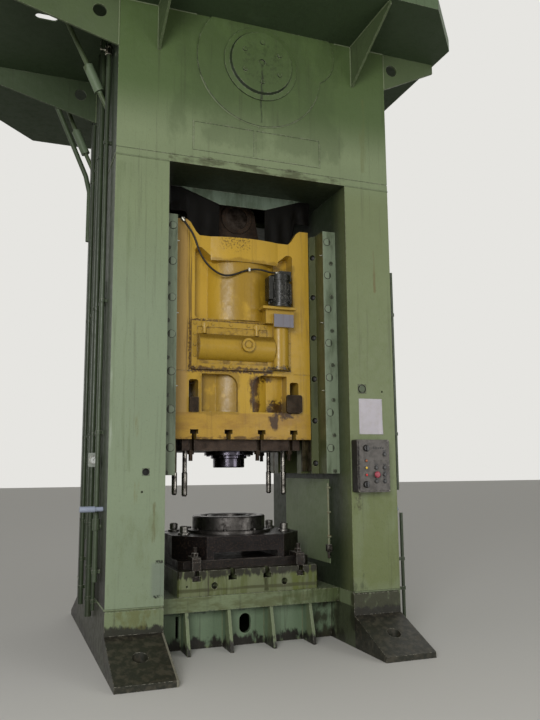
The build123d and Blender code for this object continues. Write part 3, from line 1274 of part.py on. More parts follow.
def drive_housing():
    """Upright round housing of the worm's drive, on its own bolted flange."""
    y = -SLIDE_FRONT
    z0, z1 = HOUSING_Z
    width, flange = HOUSING_FLANGE
    x0, x1 = COVER_X[1] + SEAT_GAP, HOUSING_X + width
    body = block(x0, x1, y - flange, y, z0, z1)
    round_part = bar_z(HOUSING_R, HOUSING_X, y - HOUSING_FRONT, z0 + 20, z1)
    flare = bar_z(HOUSING_R + HOUSING_FLARE, HOUSING_X, y - HOUSING_FRONT, z0 + 4, z0 + 24)
    body += (round_part + flare) & block(x0, x1, y - 2 * HOUSING_R, y, z0, z1)
    head, height, offset = HOUSING_BOLT
    for i in range(4):
        body += hex_y(head, HOUSING_X + offset, y - flange - height, y - flange, z0 + 50 + i * (z1 - z0 - 90) / 3)
    return body


def coupling_box():
    """Box between the adjusting motor and the drive housing, with its hanging cover plate and lid."""
    z0 = HOUSING_Z[1]
    y0, y1 = BOX_FRONT_Y, -SLIDE_FRONT
    body = block(HOUSING_X - BOX_LEFT, HOUSING_X + BOX_RIGHT, y0 + BOX_STEP, y1, z0, BOX_TOP)
    left, right, hang, drop, thick = BOX_PLATE
    body += block(HOUSING_X - left, HOUSING_X + right, y0, y0 + BOX_STEP, z0, BOX_TOP - BOX_LID[2] - drop)
    body += block(HOUSING_X - left, HOUSING_X + right, y0, y0 + thick, z0 - hang, z0)
    left, right, thick = BOX_LID
    back = -DRUM_FRONT - SEAT_GAP
    return body + block(HOUSING_X - left, HOUSING_X + right, y0 - 8, back, BOX_TOP - thick, BOX_TOP)


def adjusting_motor():
    """Small upright ribbed motor with terminal box, cowl and the gland for its cable."""
    x, y = MOTOR_AXIS
    z0, z1 = BOX_TOP, ADJUST_MOTOR_TOP
    r = ADJUST_MOTOR_R
    body = bar_z(r, x, y, z0 + 20, z1 - 60)
    count, height, half = ADJUST_FINS
    for i in range(count):
        body += Pos(x, y, 0) * Rot(0, 0, i * 360 / count) * block(r - 6, r + height, -half, half, z0 + 40, z1 - 90)
    body += bar_z(r + 14, x, y, z0, z0 + 22)
    body += bar_z(r + 8, x, y, z1 - 62, z1 - 12)
    reach, half, rise, drop = TERMINAL_BOX
    body += block(x - reach, x - r + 12, y - half, y + half, z0 + rise, z1 - drop)
    _, right, front, back, below, above = CAP
    return body + block(CAP_X, x + right, y - front, y + back, z1 - below, z1 + above)


# Cable of the adjusting motor

CABLE_R = 9
CLIP_FRACTION = 0.22
# Points of the cable: x, y and height from the slide's top
CABLE_POINTS = [(260, -600, -460), (206, -600, -460), (148, -594, -442), (84, -572, -432), (18, -550, -438),
                (-50, -546, -463), (-118, -546, -494), (-188, -547, -512), (-258, -548, -502), (-323, -548, -466),
                (-379, -547, -416), (-423, -546, -357), (-455, -545, -290), (-478, -544, -220), (-505, -543, -153),
                (-544, -542, -93), (-588, -540, -37)]
CABLE_ROUTE = [(x, y, SLIDE_TOP + z) for x, y, z in CABLE_POINTS]


def corner_radius(before, corner, after):
    """Largest arc that both runs beside a corner of the route allow."""
    first, second = Vector(*corner) - Vector(*before), Vector(*after) - Vector(*corner)
    turn = radians(first.get_angle(second))
    return 0.45 * min(first.length, second.length) / tan(turn / 2)


def cable_path():
    """Centre line of the cable: straight runs with an arc at each corner."""
    corners = zip(CABLE_ROUTE, CABLE_ROUTE[1:], CABLE_ROUTE[2:])
    radii = [corner_radius(*three) for three in corners]
    print("cable radii:", [round(r) for r in radii])
    return FilletPolyline(*CABLE_ROUTE, radius=radii)


def motor_cable():
    """Cable from the motor's gland over the drum to the clamp on the slide's left ear."""
    path = cable_path()
    start = Plane(origin=path @ 0, z_dir=path % 0)
    tube = sweep(start * Circle(CABLE_R), path=path)
    print("cable length", round(path.length), "volume ratio", round(tube.volume / (pi * CABLE_R**2 * path.length), 4))
    return tube


def cable_fittings():
    """Gland at the motor, clip on the drum and clamp on the slide's ear."""
    first = Vector(*CABLE_ROUTE[0])
    gland = bar_x(CABLE_R + 4, first.X + SEAT_GAP, first.X + 12, first.Y, first.Z)
    gland += bar_x(CABLE_R + 9, first.X + 12, CAP_X, first.Y, first.Z)
    path = cable_path()
    spot = path @ CLIP_FRACTION
    bore = extrude(Plane(origin=spot, z_dir=path % CLIP_FRACTION) * Circle(CABLE_R + 1), amount=30, both=True)
    reach = CABLE_R + 7
    clip = block(spot.X - 9, spot.X + 9, spot.Y - reach, -DRUM_FRONT - SEAT_GAP, spot.Z - reach, spot.Z + reach)
    last, before = Vector(*CABLE_ROUTE[-1]), Vector(*CABLE_ROUTE[-2])
    end = Plane(origin=last, z_dir=(last - before).normalized())
    clamp = extrude(end.offset(SEAT_GAP) * Circle(CABLE_R + 8), amount=34)
    clamp += block(last.X - 26, last.X, last.Y - 10, -SLIDE_FRONT, last.Z + 12, last.Z + 34)
    return [gland, clip - bore, clamp]


KNOCKOUT_HEIGHT = 130
KNOCKOUT_PROUD = 30
KNOCKOUT_SIDE_GAP = 3
KNOCKOUT_HEAD = (95, 55, 30, 6, 40, 14)


def knockout_bars():
    """Two knockout bars through the slide, lying on the floors of their slots."""
    half = KNOCKOUT_WIDTH / 2 - KNOCKOUT_SIDE_GAP
    z0 = SLIDE_BOTTOM + KNOCKOUT_RISE[0]
    reach = SLIDE_FRONT + KNOCKOUT_PROUD
    bar = block(-KNOCKOUT_X - half, -KNOCKOUT_X + half, -reach, reach, z0, z0 + KNOCKOUT_HEIGHT)
    pieces = both_sides(bar, Plane.YZ)
    left, right, thick, below, above, edge = KNOCKOUT_HEAD
    head = block(KNOCKOUT_X - left, KNOCKOUT_X + right, -reach - thick, -reach, z0 + below, z0 + KNOCKOUT_HEIGHT + above)
    pieces[1] += chamfer(head.edges().filter_by(Axis.Y), edge)
    return pieces


# Die pieces

def upper_die_plate():
    """Plate under the slide that carries the punch and the guide pins."""
    half_x, half_y, r = UPPER_HALF_X, UPPER_HALF_Y, BOLT_R + BOLT_GAP
    body = block(-half_x, half_x, -half_y, half_y, UPPER_PLATE_BOTTOM, SLIDE_BOTTOM)
    for x in UPPER_BOLT_XS:
        for side in (-1, 1):
            y = side * (half_y - UPPER_BOLT_INSET)
            body -= block(x - r, x + r, y, side * (half_y + 1), UPPER_PLATE_BOTTOM - 1, SLIDE_BOTTOM + 1)
            body -= bar_z(r, x, y, UPPER_PLATE_BOTTOM - 1, SLIDE_BOTTOM + 1)
    for x in (-GUIDE_PIN_X, GUIDE_PIN_X):
        for y in (-GUIDE_PIN_Y, GUIDE_PIN_Y):
            body -= bar_z(GUIDE_PIN_R + SEAT_GAP, x, y, UPPER_PLATE_BOTTOM - 1, SLIDE_BOTTOM - PIN_SEAT)
    return body


UPPER_BOLT_XS = (SLOT_XS[0], SLOT_XS[2], SLOT_XS[3])
UPPER_BOLT_INSET = 42
UPPER_BOLT_TAIL = 90
PIN_SEAT = 20
BOLT_R = 18
BOLT_GAP = 3
BOLT_NUT = 62
NUT_HEIGHT = 32
T_HEAD = SLOT_HEAD - 8
T_HEAD_HEIGHT = SLOT_HEAD_HEIGHT - 4


def upper_bolts():
    """T-bolts that hang the upper die plate in the slide's T-slots, with their nuts."""
    pieces = []
    top, half = SLIDE_BOTTOM + SLOT_DEPTH - 2, T_HEAD / 2
    nut_z = UPPER_PLATE_BOTTOM - NUT_HEIGHT
    for x in UPPER_BOLT_XS:
        for side in (-1, 1):
            y = side * (UPPER_HALF_Y - UPPER_BOLT_INSET)
            bolt = bar_z(BOLT_R, x, y, UPPER_PLATE_BOTTOM - UPPER_BOLT_TAIL, top - T_HEAD_HEIGHT / 2)
            bolt += block(x - half, x + half, y - half, y + half, top - T_HEAD_HEIGHT, top)
            pieces.append(bolt)
            nut = hex_z(BOLT_NUT, x, y, nut_z, UPPER_PLATE_BOTTOM)
            pieces.append(nut - bar_z(BOLT_R + SEAT_GAP, x, y, nut_z - 1, UPPER_PLATE_BOTTOM + 1))
    return pieces


PUNCH_FLANGE = (85, 34)
PUNCH_STEP = (22, 62)
PUNCH_SCREW = (54, 15, 12)
PUNCH_EDGE = 8


def punch():
    """Trimming punch with its flange, turned in one piece."""
    z = UPPER_PLATE_BOTTOM
    flange, thick = PUNCH_FLANGE
    step, step_drop = PUNCH_STEP
    r, tip = PUNCH_R, z - PUNCH_DROP
    profile = [(0, z), (r + flange, z), (r + flange, z - thick), (r + step, z - thick - 6), (r + step, z - step_drop),
               (r, z - step_drop - 6), (r, tip + PUNCH_EDGE), (r - PUNCH_EDGE, tip), (0, tip)]
    body = turned_z(profile, 0, 0)
    inset, screw_r, head = PUNCH_SCREW
    for i in range(6):
        angle = radians(60 * i)
        body += bar_z(screw_r, (r + inset) * cos(angle), (r + inset) * sin(angle), z - thick - head, z - thick)
    return body


GUIDE_PIN_WAIST = (5, 190, 14)


def guide_pins():
    """Four stepped guide pins in the upper die plate."""
    top = SLIDE_BOTTOM - PIN_SEAT
    bottom = UPPER_PLATE_BOTTOM - GUIDE_PIN_DROP
    waist, length, lead = GUIDE_PIN_WAIST
    neck = UPPER_PLATE_BOTTOM - length
    r = GUIDE_PIN_R
    profile = [(0, top), (r, top), (r, UPPER_PLATE_BOTTOM), (r - waist, UPPER_PLATE_BOTTOM), (r - waist, neck),
               (r, neck - 6), (r, bottom + lead), (r - 10, bottom), (0, bottom)]
    return four_corners(turned_z(profile, -GUIDE_PIN_X, -GUIDE_PIN_Y))


def lower_die_shoe():
    """Base plate of the lower die."""
    body = block(-SHOE_HALF_X, SHOE_HALF_X, -SHOE_HALF_Y, SHOE_HALF_Y, BOLSTER_TOP, SHOE_TOP)
    return chamfer(body.edges().filter_by(Axis.Z), SHOE_CHAMFER)


SHOE_CHAMFER = 40
CHUTE_WALL = 60
CHUTE_HEIGHT = 58
CHUTE_FLOOR = 4


def lower_die_block():
    """Eight-sided die block with the chute for the trimmings and the hole under the ring."""
    half_x, half_y = SHOE_HALF_X, SHOE_HALF_Y
    front, chute = DIE_FRONT_HALF, DIE_FRONT_HALF - CHUTE_WALL
    outline = [(-front, -half_y), (front, -half_y), (half_x, -DIE_CORNER_Y), (half_x, DIE_CORNER_Y),
               (front, half_y), (-front, half_y), (-half_x, DIE_CORNER_Y), (-half_x, -DIE_CORNER_Y)]
    body = prism_z(outline, SHOE_TOP, DIE_TOP)
    floor = SHOE_TOP + CHUTE_FLOOR
    body -= block(-chute, chute, -half_y - 1, half_y + 1, floor, floor + CHUTE_HEIGHT)
    body -= bar_z(RING_BORE_R + DIE_RELIEF, 0, 0, SHOE_TOP + 10, DIE_TOP + 1)
    for x in (-GUIDE_PIN_X, GUIDE_PIN_X):
        for y in (-GUIDE_PIN_Y, GUIDE_PIN_Y):
            body -= bar_z(GUIDE_PIN_R + BUSH_SLEEVE + SEAT_GAP, x, y, SHOE_TOP - 1, DIE_TOP + 1)
    return body


BUSH_SLEEVE = 16
BUSH_PROUD = 75
BUSH_FOOT = 30
BUSH_FLANGE = (12, 16)
DIE_RELIEF = 20


def guide_bushes():
    """Flanged bushes in the die block that the guide pins enter."""
    outer = GUIDE_PIN_R + BUSH_SLEEVE
    inner = GUIDE_PIN_R + RUNNING_GAP
    foot, top = SHOE_TOP + BUSH_FOOT, DIE_TOP + BUSH_PROUD
    flange, thick = BUSH_FLANGE
    profile = [(inner, foot), (outer, foot), (outer, DIE_TOP), (outer + flange, DIE_TOP), (outer + flange, DIE_TOP + thick),
               (outer - 4, DIE_TOP + thick + 6), (outer - 4, top - 5), (outer - 9, top), (inner + 4, top),
               (inner, top - 4)]
    return four_corners(turned_z(profile, -GUIDE_PIN_X, -GUIDE_PIN_Y))


RING_FLANGE_THICK = 26
RING_DISH = 26
RING_SCREW_R = 15


def trimming_ring():
    """Trimming ring on the die block: bolted flange, raised rim and the cutting edge inside."""
    z = DIE_TOP
    top = z + RING_HEIGHT
    outer, bore, thick, dish = RING_R, RING_BORE_R, RING_FLANGE_THICK, top - RING_DISH
    profile = [(bore, z), (outer + RING_FLANGE, z), (outer + RING_FLANGE, z + thick), (outer, z + thick + 6),
               (outer, top - 10), (outer - 8, top), (outer - 70, top), (outer - 95, dish), (bore + 36, dish),
               (bore + 26, top), (bore, top)]
    body = turned_z(profile, 0, 0)
    circle = outer + RING_FLANGE / 2
    for i in range(8):
        angle = radians(45 * i + 22.5)
        body += bar_z(RING_SCREW_R, circle * cos(angle), circle * sin(angle), z + thick - 6, z + thick + 18)
    return body


CLAMP_STUD_Y = SHOE_HALF_Y + 40
CLAMP_HALF = 36
CLAMP_THICK = 40
CLAMP_LAP = 70
CLAMP_HEEL = (4, 28)
CLAMP_STUD_TOP = BOLSTER_TOP + 185


def die_clamps():
    """Four strap clamps that hold the lower die in the bolster's T-slots."""
    x = SLOT_XS[0]
    y = -CLAMP_STUD_Y
    z0, z1 = SHOE_TOP, SHOE_TOP + CLAMP_THICK
    heel_y = -BOLSTER_DEPTH / 2 + CLAMP_HEEL[0]
    strap = block(x - CLAMP_HALF, x + CLAMP_HALF, heel_y, -SHOE_HALF_Y + CLAMP_LAP, z0, z1)
    strap = chamfer(strap.edges().filter_by(Axis.X).group_by(Axis.Z)[-1], 10)
    strap -= bar_z(BOLT_R + 2, x, y, z0 - 1, z1 + 1)
    heel = block(x - CLAMP_HALF, x + CLAMP_HALF, heel_y, heel_y + CLAMP_HEEL[1], BOLSTER_TOP, z0)
    foot, half = BOLSTER_TOP - SLOT_DEPTH + 2, T_HEAD / 2
    stud = bar_z(BOLT_R, x, y, foot + T_HEAD_HEIGHT / 2, CLAMP_STUD_TOP)
    stud += block(x - half, x + half, y - half + 3, y + half - 3, foot, foot + T_HEAD_HEIGHT)
    nut = hex_z(BOLT_NUT, x, y, z1, z1 + NUT_HEIGHT) - bar_z(BOLT_R + SEAT_GAP, x, y, z1 - 1, z1 + NUT_HEIGHT + 1)
    pieces = []
    for piece in (strap, heel, stud, nut):
        pieces += four_corners(piece)
    return pieces


# Controls

PANEL_EDGE = 10
PANEL_WIDTH = 315
PANEL_HEIGHT = 452
PANEL_RISE = 840
PANEL_PROUD = 112
PANEL_LID = (12, 8)
BUTTON_R = 14
BUTTON_HEAD = 12
BUTTON_HOLE = 34
BUTTON_STEM = 26
BEZEL = 5
SWITCH_R = 30
STEM_R = 9
STOP_R = 27
LAMP_R = 12
ROW_LAMP_R = 5

PANEL_X = (OPENING + PANEL_EDGE, OPENING + PANEL_EDGE + PANEL_WIDTH)
PANEL_Z = (BED_HEIGHT + PANEL_RISE, BED_HEIGHT + PANEL_RISE + PANEL_HEIGHT)
PANEL_FRONT = -HALF_DEPTH - PANEL_PROUD


def on_panel(x, z):
    """A spot on the panel, measured from the box's lower left corner."""
    return (PANEL_X[0] + x, PANEL_Z[0] + z)


BUTTON_SPOTS = {"speed_button": on_panel(261, 325), "inch_button": on_panel(177, 210),
                "up_button": on_panel(259, 210), "start_button": on_panel(259, 150),
                "down_button": on_panel(177, 94), "lamp_test_button": on_panel(259, 94)}
STOP_SPOT = on_panel(177, 150)
SWITCH_SPOTS = {"mode_switch": on_panel(84, 377), "stroke_switch": on_panel(78, 67)}
LAMP_SPOTS = [on_panel(80, z) for z in (269, 208, 148)]
ROW_LAMP_SPOTS = [on_panel(161 + i * 40, z) for i in range(4) for z in (387, 269)]


def control_box():
    """Steel box on the right column, with its raised panel, button bezels and three lamps."""
    x0, x1 = PANEL_X
    z0, z1 = PANEL_Z
    margin, lid = PANEL_LID
    body = block(x0, x1, PANEL_FRONT + lid, -HALF_DEPTH, z0, z1)
    body = chamfer(body.edges().filter_by(Axis.Y), lid)
    body += block(x0 + margin, x1 - margin, PANEL_FRONT, PANEL_FRONT + lid, z0 + margin, z1 - margin)
    back = PANEL_FRONT + BUTTON_HOLE
    for x, z in BUTTON_SPOTS.values():
        body += bar_y(BUTTON_R + BEZEL, x, PANEL_FRONT - BEZEL, PANEL_FRONT, z)
        body -= bar_y(BUTTON_R + SEAT_GAP, x, PANEL_FRONT - BEZEL - 1, back, z)
    for x, z in (STOP_SPOT, *SWITCH_SPOTS.values()):
        body -= bar_y(STEM_R + SEAT_GAP, x, PANEL_FRONT - 1, back, z)
    for x, z in LAMP_SPOTS:
        body += bar_y(LAMP_R, x, PANEL_FRONT - 10, PANEL_FRONT, z)
    for x, z in ROW_LAMP_SPOTS:
        body += bar_y(ROW_LAMP_R, x, PANEL_FRONT - 4, PANEL_FRONT, z)
    return body


def push_button(spot):
    """One flat push button in its bezel."""
    x, z = spot
    body = bar_y(BUTTON_R, x, PANEL_FRONT - BUTTON_HEAD, PANEL_FRONT + BUTTON_STEM, z)
    return chamfer(body.edges().group_by(Axis.Y)[0], 1.5)


def emergency_stop():
    """Red mushroom button on its stem."""
    x, z = STOP_SPOT
    y, end = PANEL_FRONT, PANEL_FRONT + BUTTON_HOLE - BUTTON_HEAD
    profile = [(0, y - 34), (STOP_R - 8, y - 33), (STOP_R, y - 26), (STOP_R, y - 18), (STEM_R + 5, y - 12),
               (STEM_R, y - 12), (STEM_R, end), (0, end)]
    return turned_y(profile, x, z)


def rotary_switch(spot):
    """Large round switch knob with a raised grip bar."""
    x, z = spot
    y, end = PANEL_FRONT, PANEL_FRONT + BUTTON_HOLE - 4
    profile = [(0, y - 20), (SWITCH_R - 6, y - 20), (SWITCH_R - 2, y - 14), (SWITCH_R, y - SEAT_GAP),
               (STEM_R, y - SEAT_GAP), (STEM_R, end), (0, end)]
    body = turned_y(profile, x, z)
    return body + block(x - 6, x + 6, y - 32, y - 19, z - SWITCH_R + 7, z + SWITCH_R - 7)


# Pipes and gauge

# Each pipe: side of the press, distance from the side, y, radius, bottom and top
PIPES = ((-1, 40, -640, 20, 620, DECK_Z), (-1, 32, -500, 14, 380, 3100), (-1, 44, -300, 27, 300, DECK_Z),
         (-1, 36, 0, 18, 900, DECK_Z), (-1, 40, 300, 22, 300, 4900), (1, 66, -895, 15, 120, 1100),
         (1, 30, -915, 13, 1300, 3300))
CLIP_ZS = (450, 700, 1050, 1800, 2900, 4300)
CLIP_HALF = 14
CLIP_WALL = 6
CLIP_WEB_HALF = 11
GAUGE_CASE = (24, 104)
GAUGE_Y = (-560, -530)
GAUGE_Z = (1522, 1637)
GAUGE_DIAL = (32, 4)
GAUGE_ARM = (30, 8, 20)
BOWL = (30, 1020, 1110)
FITTINGS = ((-1, -720, 1190, 180, 23), (1, -835, 1130, 66, 19))


def pipe_clip(side, x, y, r, z):
    """Saddle that stands on the frame's side and closes round a pipe."""
    body = bar_z(r + CLIP_WALL, x, y, z - CLIP_HALF, z + CLIP_HALF)
    body += block(side * HALF_WIDTH, x, y - CLIP_WEB_HALF, y + CLIP_WEB_HALF, z - CLIP_HALF, z + CLIP_HALF)
    return body - bar_z(r + SEAT_GAP, x, y, z - CLIP_HALF - 1, z + CLIP_HALF + 1)


def side_pipes():
    """Upright pipes on both sides of the frame, with their clips; the first one carries a filter bowl."""
    pieces = []
    for side, offset, y, r, z0, z1 in PIPES:
        x = side * (HALF_WIDTH + offset)
        pieces.append(bar_z(r, x, y, z0, z1))
        pieces += [pipe_clip(side, x, y, r, z) for z in CLIP_ZS if z0 + 50 < z < z1 - 50]
    r, z0, z1 = BOWL
    pieces[0] += bar_z(r, -HALF_WIDTH - PIPES[0][1], PIPES[0][2], z0, z1)
    return pieces


def side_fittings():
    """Short round fittings that stand out from the frame's sides."""
    pieces = []
    for side, y, z, reach, r in FITTINGS:
        x = side * HALF_WIDTH
        neck = bar_x(r - 5, x, x + side * reach / 3, y, z)
        pieces.append(neck + bar_x(r, x + side * reach / 3, x + side * reach, y, z))
    return pieces


def air_gauge():
    """Square-cased air gauge on a bracket at the left side."""
    near, far = GAUGE_CASE
    front, back = GAUGE_Y
    bottom, top = GAUGE_Z
    middle = (bottom + top) / 2
    body = block(-HALF_WIDTH - far, -HALF_WIDTH - near, front, back, bottom, top)
    body = chamfer(body.edges().filter_by(Axis.Y), 8)
    r, depth = GAUGE_DIAL
    body -= bar_y(r, -HALF_WIDTH - (near + far) / 2, front - 1, front + depth, middle)
    reach, inset, half = GAUGE_ARM
    return body + block(-HALF_WIDTH - reach, -HALF_WIDTH, front + inset, back - inset, middle - half, middle + half)


NODES = {
    "bed": bed, "left_column": left_column, "right_column": right_column, "crown": crown,
    "tie_rods": tie_rods, "bolster": bolster, "guide_blocks": guide_blocks, "guide_liners": guide_liners,
    "guide_bolts": guide_bolts, "platform_deck": platform_deck, "platform_brackets": platform_brackets,
    "oil_apron": oil_apron, "crankshaft": crankshaft, "shaft_bushes": shaft_bushes,
    "shaft_end_cover": shaft_end_cover, "bull_gear": bull_gear, "pinion_shaft": pinion_shaft,
    "flywheel": flywheel, "clutch_brake": clutch_brake,
    "motor_pulley": motor_pulley, "drive_belts": drive_belts, "drive_motor": drive_motor,
    "connecting_rod": connecting_rod, "rod_cap": rod_cap, "crank_pin": crank_pin, "wrist_pin": wrist_pin,
    "adjusting_screw": adjusting_screw, "adjusting_nut": adjusting_nut, "nut_retainer": nut_retainer,
    "worm_shaft": worm_shaft, "slide": slide, "worm_cover": worm_cover, "drive_housing": drive_housing,
    "coupling_box": coupling_box, "adjusting_motor": adjusting_motor, "motor_cable": motor_cable,
    "cable_fittings": cable_fittings, "knockout_bars": knockout_bars, "upper_die_plate": upper_die_plate,
    "upper_bolts": upper_bolts, "punch": punch, "guide_pins": guide_pins, "lower_die_shoe": lower_die_shoe,
    "lower_die_block": lower_die_block, "guide_bushes": guide_bushes, "trimming_ring": trimming_ring,
    "die_clamps": die_clamps, "control_box": control_box, "emergency_stop": emergency_stop,
    "side_pipes": side_pipes, "side_fittings": side_fittings, "air_gauge": air_gauge,
}


def save(node, made):
    """Write one node's solids to its own STEP file."""
    shapes = made if isinstance(made, list) else [made]
    solids = [solid for shape in shapes for solid in shape.solids()]
    export_step(Compound(solids) if len(solids) > 1 else solids[0], f"parts/{node}.step")


os.makedirs("parts", exist_ok=True)
for node, make in NODES.items():
    save(node, make())
for node, spot in BUTTON_SPOTS.items():
    save(node, push_button(spot))
for node, spot in SWITCH_SPOTS.items():
    save(node, rotary_switch(spot))
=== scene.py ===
from math import cos, pi, radians, sin

import bmesh
import bpy
from bpy.props import FloatProperty, FloatVectorProperty, PointerProperty
from mathutils import Matrix, Vector, noise


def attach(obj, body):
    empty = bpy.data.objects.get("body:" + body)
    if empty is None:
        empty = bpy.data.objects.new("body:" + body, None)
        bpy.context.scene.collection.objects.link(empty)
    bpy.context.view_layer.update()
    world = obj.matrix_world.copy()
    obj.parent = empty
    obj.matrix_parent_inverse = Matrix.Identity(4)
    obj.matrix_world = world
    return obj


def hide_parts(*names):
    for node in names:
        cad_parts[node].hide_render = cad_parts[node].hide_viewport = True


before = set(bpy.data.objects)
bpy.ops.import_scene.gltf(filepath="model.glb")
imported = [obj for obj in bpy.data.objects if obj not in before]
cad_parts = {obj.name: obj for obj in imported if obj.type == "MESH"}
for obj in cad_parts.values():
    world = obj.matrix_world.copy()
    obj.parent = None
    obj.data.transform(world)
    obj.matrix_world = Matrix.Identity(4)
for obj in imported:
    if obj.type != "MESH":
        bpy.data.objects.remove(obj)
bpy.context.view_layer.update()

bl_info = {
    "name": "Trimming press dressing",
    "version": (1, 1, 0),
    "blender": (4, 5, 0),
    "location": "3D View > Sidebar > Press",
    "description": "Finishes and small fittings for a straight-sided trimming press",
    "category": "Object",
}

# Places on the frame that the finishes and fittings share, in millimetres from its middle and from the floor
HALF_WIDTH = 1270
HALF_DEPTH = 950
OPENING = 820
BED_TOP = 450
CROWN_BOTTOM = 4080
SHAFT_HEIGHT = 5114
DECK_UNDERSIDE = 5484
DECK_FRONT = -1690
DECK_REAR = 2100
SLIDE_FACE = -500
PANEL_FACE = -1062

# How far a mark on a face reaches to each side of it, and a place outside the press on any side
SKIN = 10
FAR = 9000

# Ways that faces look
LEFT, RIGHT, REAR, UP, DOWN = (-1, 0, 0), (1, 0, 0), (0, 1, 0), (0, 0, 1), (0, 0, -1)


# Colours and scales

def linear(code):
    """Turn an sRGB hex colour such as "#7a8567" into linear RGBA."""
    channels = [int(code[i:i + 2], 16) / 255 for i in (1, 3, 5)]
    return tuple(c / 12.92 if c <= 0.04045 else ((c + 0.055) / 1.055) ** 2.4 for c in channels) + (1.0,)


def paint(colour):
    """Accept a hex code or a linear colour from the settings."""
    return linear(colour) if isinstance(colour, str) else tuple(colour)


def darker(colour, share):
    """The same paint with less light coming back, as where a film of oil lies on it."""
    red, green, blue, alpha = paint(colour)
    return (red * share, green * share, blue * share, alpha)


def per_metre(millimetres):
    """Texture scale that makes one feature about that many millimetres wide."""
    return 1000.0 / millimetres


def mm(*values):
    """Millimetres to metres, as a vector for three values."""
    return Vector([v / 1000 for v in values]) if len(values) > 1 else values[0] / 1000


# Material building

def node(tree, kind, links=None, **settings):
    """Add one shader node with its settings, and fill its sockets from values or other sockets."""
    made = tree.nodes.new("ShaderNode" + kind)
    for key, value in settings.items():
        setattr(made, key, value)
    for key, value in (links or {}).items():
        if isinstance(value, bpy.types.NodeSocket):
            tree.links.new(value, made.inputs[key])
        else:
            made.inputs[key].default_value = value
    return made


def new_finish(name):
    """Empty material: returns it with its tree, its shader and the object-space position socket."""
    finish = bpy.data.materials.new(name)
    finish.use_nodes = True
    tree = finish.node_tree
    shader = tree.nodes["Principled BSDF"]
    place = node(tree, "TexCoord").outputs["Object"]
    return finish, tree, shader, place


def patches(tree, place, size, low, high, stretch=(1, 1, 1), detail=5.0, offset=0.0):
    """Mask of irregular patches about size millimetres wide, from 0 to 1 between two noise levels."""
    mapped = node(tree, "Mapping", {"Vector": place, "Scale": stretch, "Location": (offset, offset, offset)})
    clouds = node(tree, "TexNoise", {"Vector": mapped.outputs[0], "Scale": per_metre(size), "Detail": detail,
                                     "Roughness": 0.62})
    mask = node(tree, "MapRange", {"Value": clouds.outputs["Fac"], "From Min": low, "From Max": high})
    return mask.outputs[0]


def meet(tree, first, *others):
    """Where masks meet: the product of several masks and strengths."""
    for other in others:
        first = node(tree, "Math", {0: first, 1: other}, operation="MULTIPLY").outputs[0]
    return first


def beside(tree, place, low, high, soft):
    """Mask that is 1 in a box and fades out over a soft distance, the same for all axes or one for each."""
    fade = soft if isinstance(soft, tuple) else (soft, soft, soft)
    under = node(tree, "VectorMath", {0: tuple(mm(*low)), 1: place}, operation="SUBTRACT").outputs[0]
    over = node(tree, "VectorMath", {0: place, 1: tuple(mm(*high))}, operation="SUBTRACT").outputs[0]
    out = node(tree, "VectorMath", {0: under, 1: over}, operation="MAXIMUM").outputs[0]
    clear = node(tree, "VectorMath", {0: out, 1: (0, 0, 0)}, operation="MAXIMUM").outputs[0]
    share = node(tree, "VectorMath", {0: clear, 1: tuple(mm(*fade))}, operation="DIVIDE").outputs[0]
    away = node(tree, "VectorMath", {0: share}, operation="LENGTH").outputs["Value"]
    return node(tree, "MapRange", {"Value": away, "From Min": 1.0, "From Max": 0.0},
                interpolation_type="SMOOTHSTEP").outputs[0]


def film(low, high, colour, strength, soft=60):
    """Even film of another colour inside a box, such as soot, painted shade in a recess or a wiped face."""
    def lay(tree, place):
        return meet(tree, beside(tree, place, low, high, soft), strength), paint(colour)
    return lay


def stain(low, high, colour, strength, soft=60, size=55, runs=0.25, sideways=None, cover=0.5):
    """Broken stain about a box: cover says how much of it is hit.

    Runs below 1 draws it out downwards, and sideways below 1 draws it out across.
    """
    stretch = (1, 1, runs) if sideways is None else (sideways, 1, 1)

    def lay(tree, place):
        cloud = patches(tree, place, size, 0.3, 0.7, stretch=stretch, offset=low[0] / 1000, detail=8.0)
        reach = beside(tree, place, low, high, soft)
        spread = node(tree, "Math", {0: cloud, 1: 1.2, 2: reach}, operation="MULTIPLY_ADD").outputs[0]
        least = 1.6 - 0.9 * cover
        mask = node(tree, "MapRange", {"Value": spread, "From Min": least, "From Max": least + 0.55},
                    interpolation_type="SMOOTHSTEP").outputs[0]
        near = node(tree, "Math", {0: reach, 1: 3.0}, operation="MULTIPLY", use_clamp=True).outputs[0]
        return meet(tree, mask, near, strength), paint(colour)
    return lay


def facing(direction, colour, strength, least=0.5):
    """Film on the faces that look in one direction, such as painted shade below the walkway."""
    def lay(tree, place):
        normal = node(tree, "NewGeometry").outputs["Normal"]
        turned = node(tree, "VectorMath", {0: normal, 1: direction}, operation="DOT_PRODUCT").outputs["Value"]
        mask = node(tree, "MapRange", {"Value": turned, "From Min": least - 0.1,
                                       "From Max": least + 0.1}).outputs[0]
        cloud = patches(tree, place, 420, -0.3, 0.38, detail=4.0)
        return meet(tree, mask, cloud, strength), paint(colour)
    return lay


def rubbed_edges(tree, reach):
    """Mask of the sharp edges within reach millimetres, where paint and dirt rub off."""
    rounded = node(tree, "Bevel", {"Radius": mm(reach)}, samples=4).outputs[0]
    straight = node(tree, "NewGeometry").outputs["Normal"]
    alike = node(tree, "VectorMath", {0: rounded, 1: straight}, operation="DOT_PRODUCT").outputs["Value"]
    return node(tree, "MapRange", {"Value": alike, "From Min": 0.995, "From Max": 0.86}).outputs[0]


def layered(tree, base, layers):
    """Lay colours over a base one by one, each through its own mask."""
    colour = base
    for mask, over in layers:
        colour = node(tree, "Mix", {0: mask, 6: colour, 7: over}, data_type="RGBA").outputs[2]
    return colour


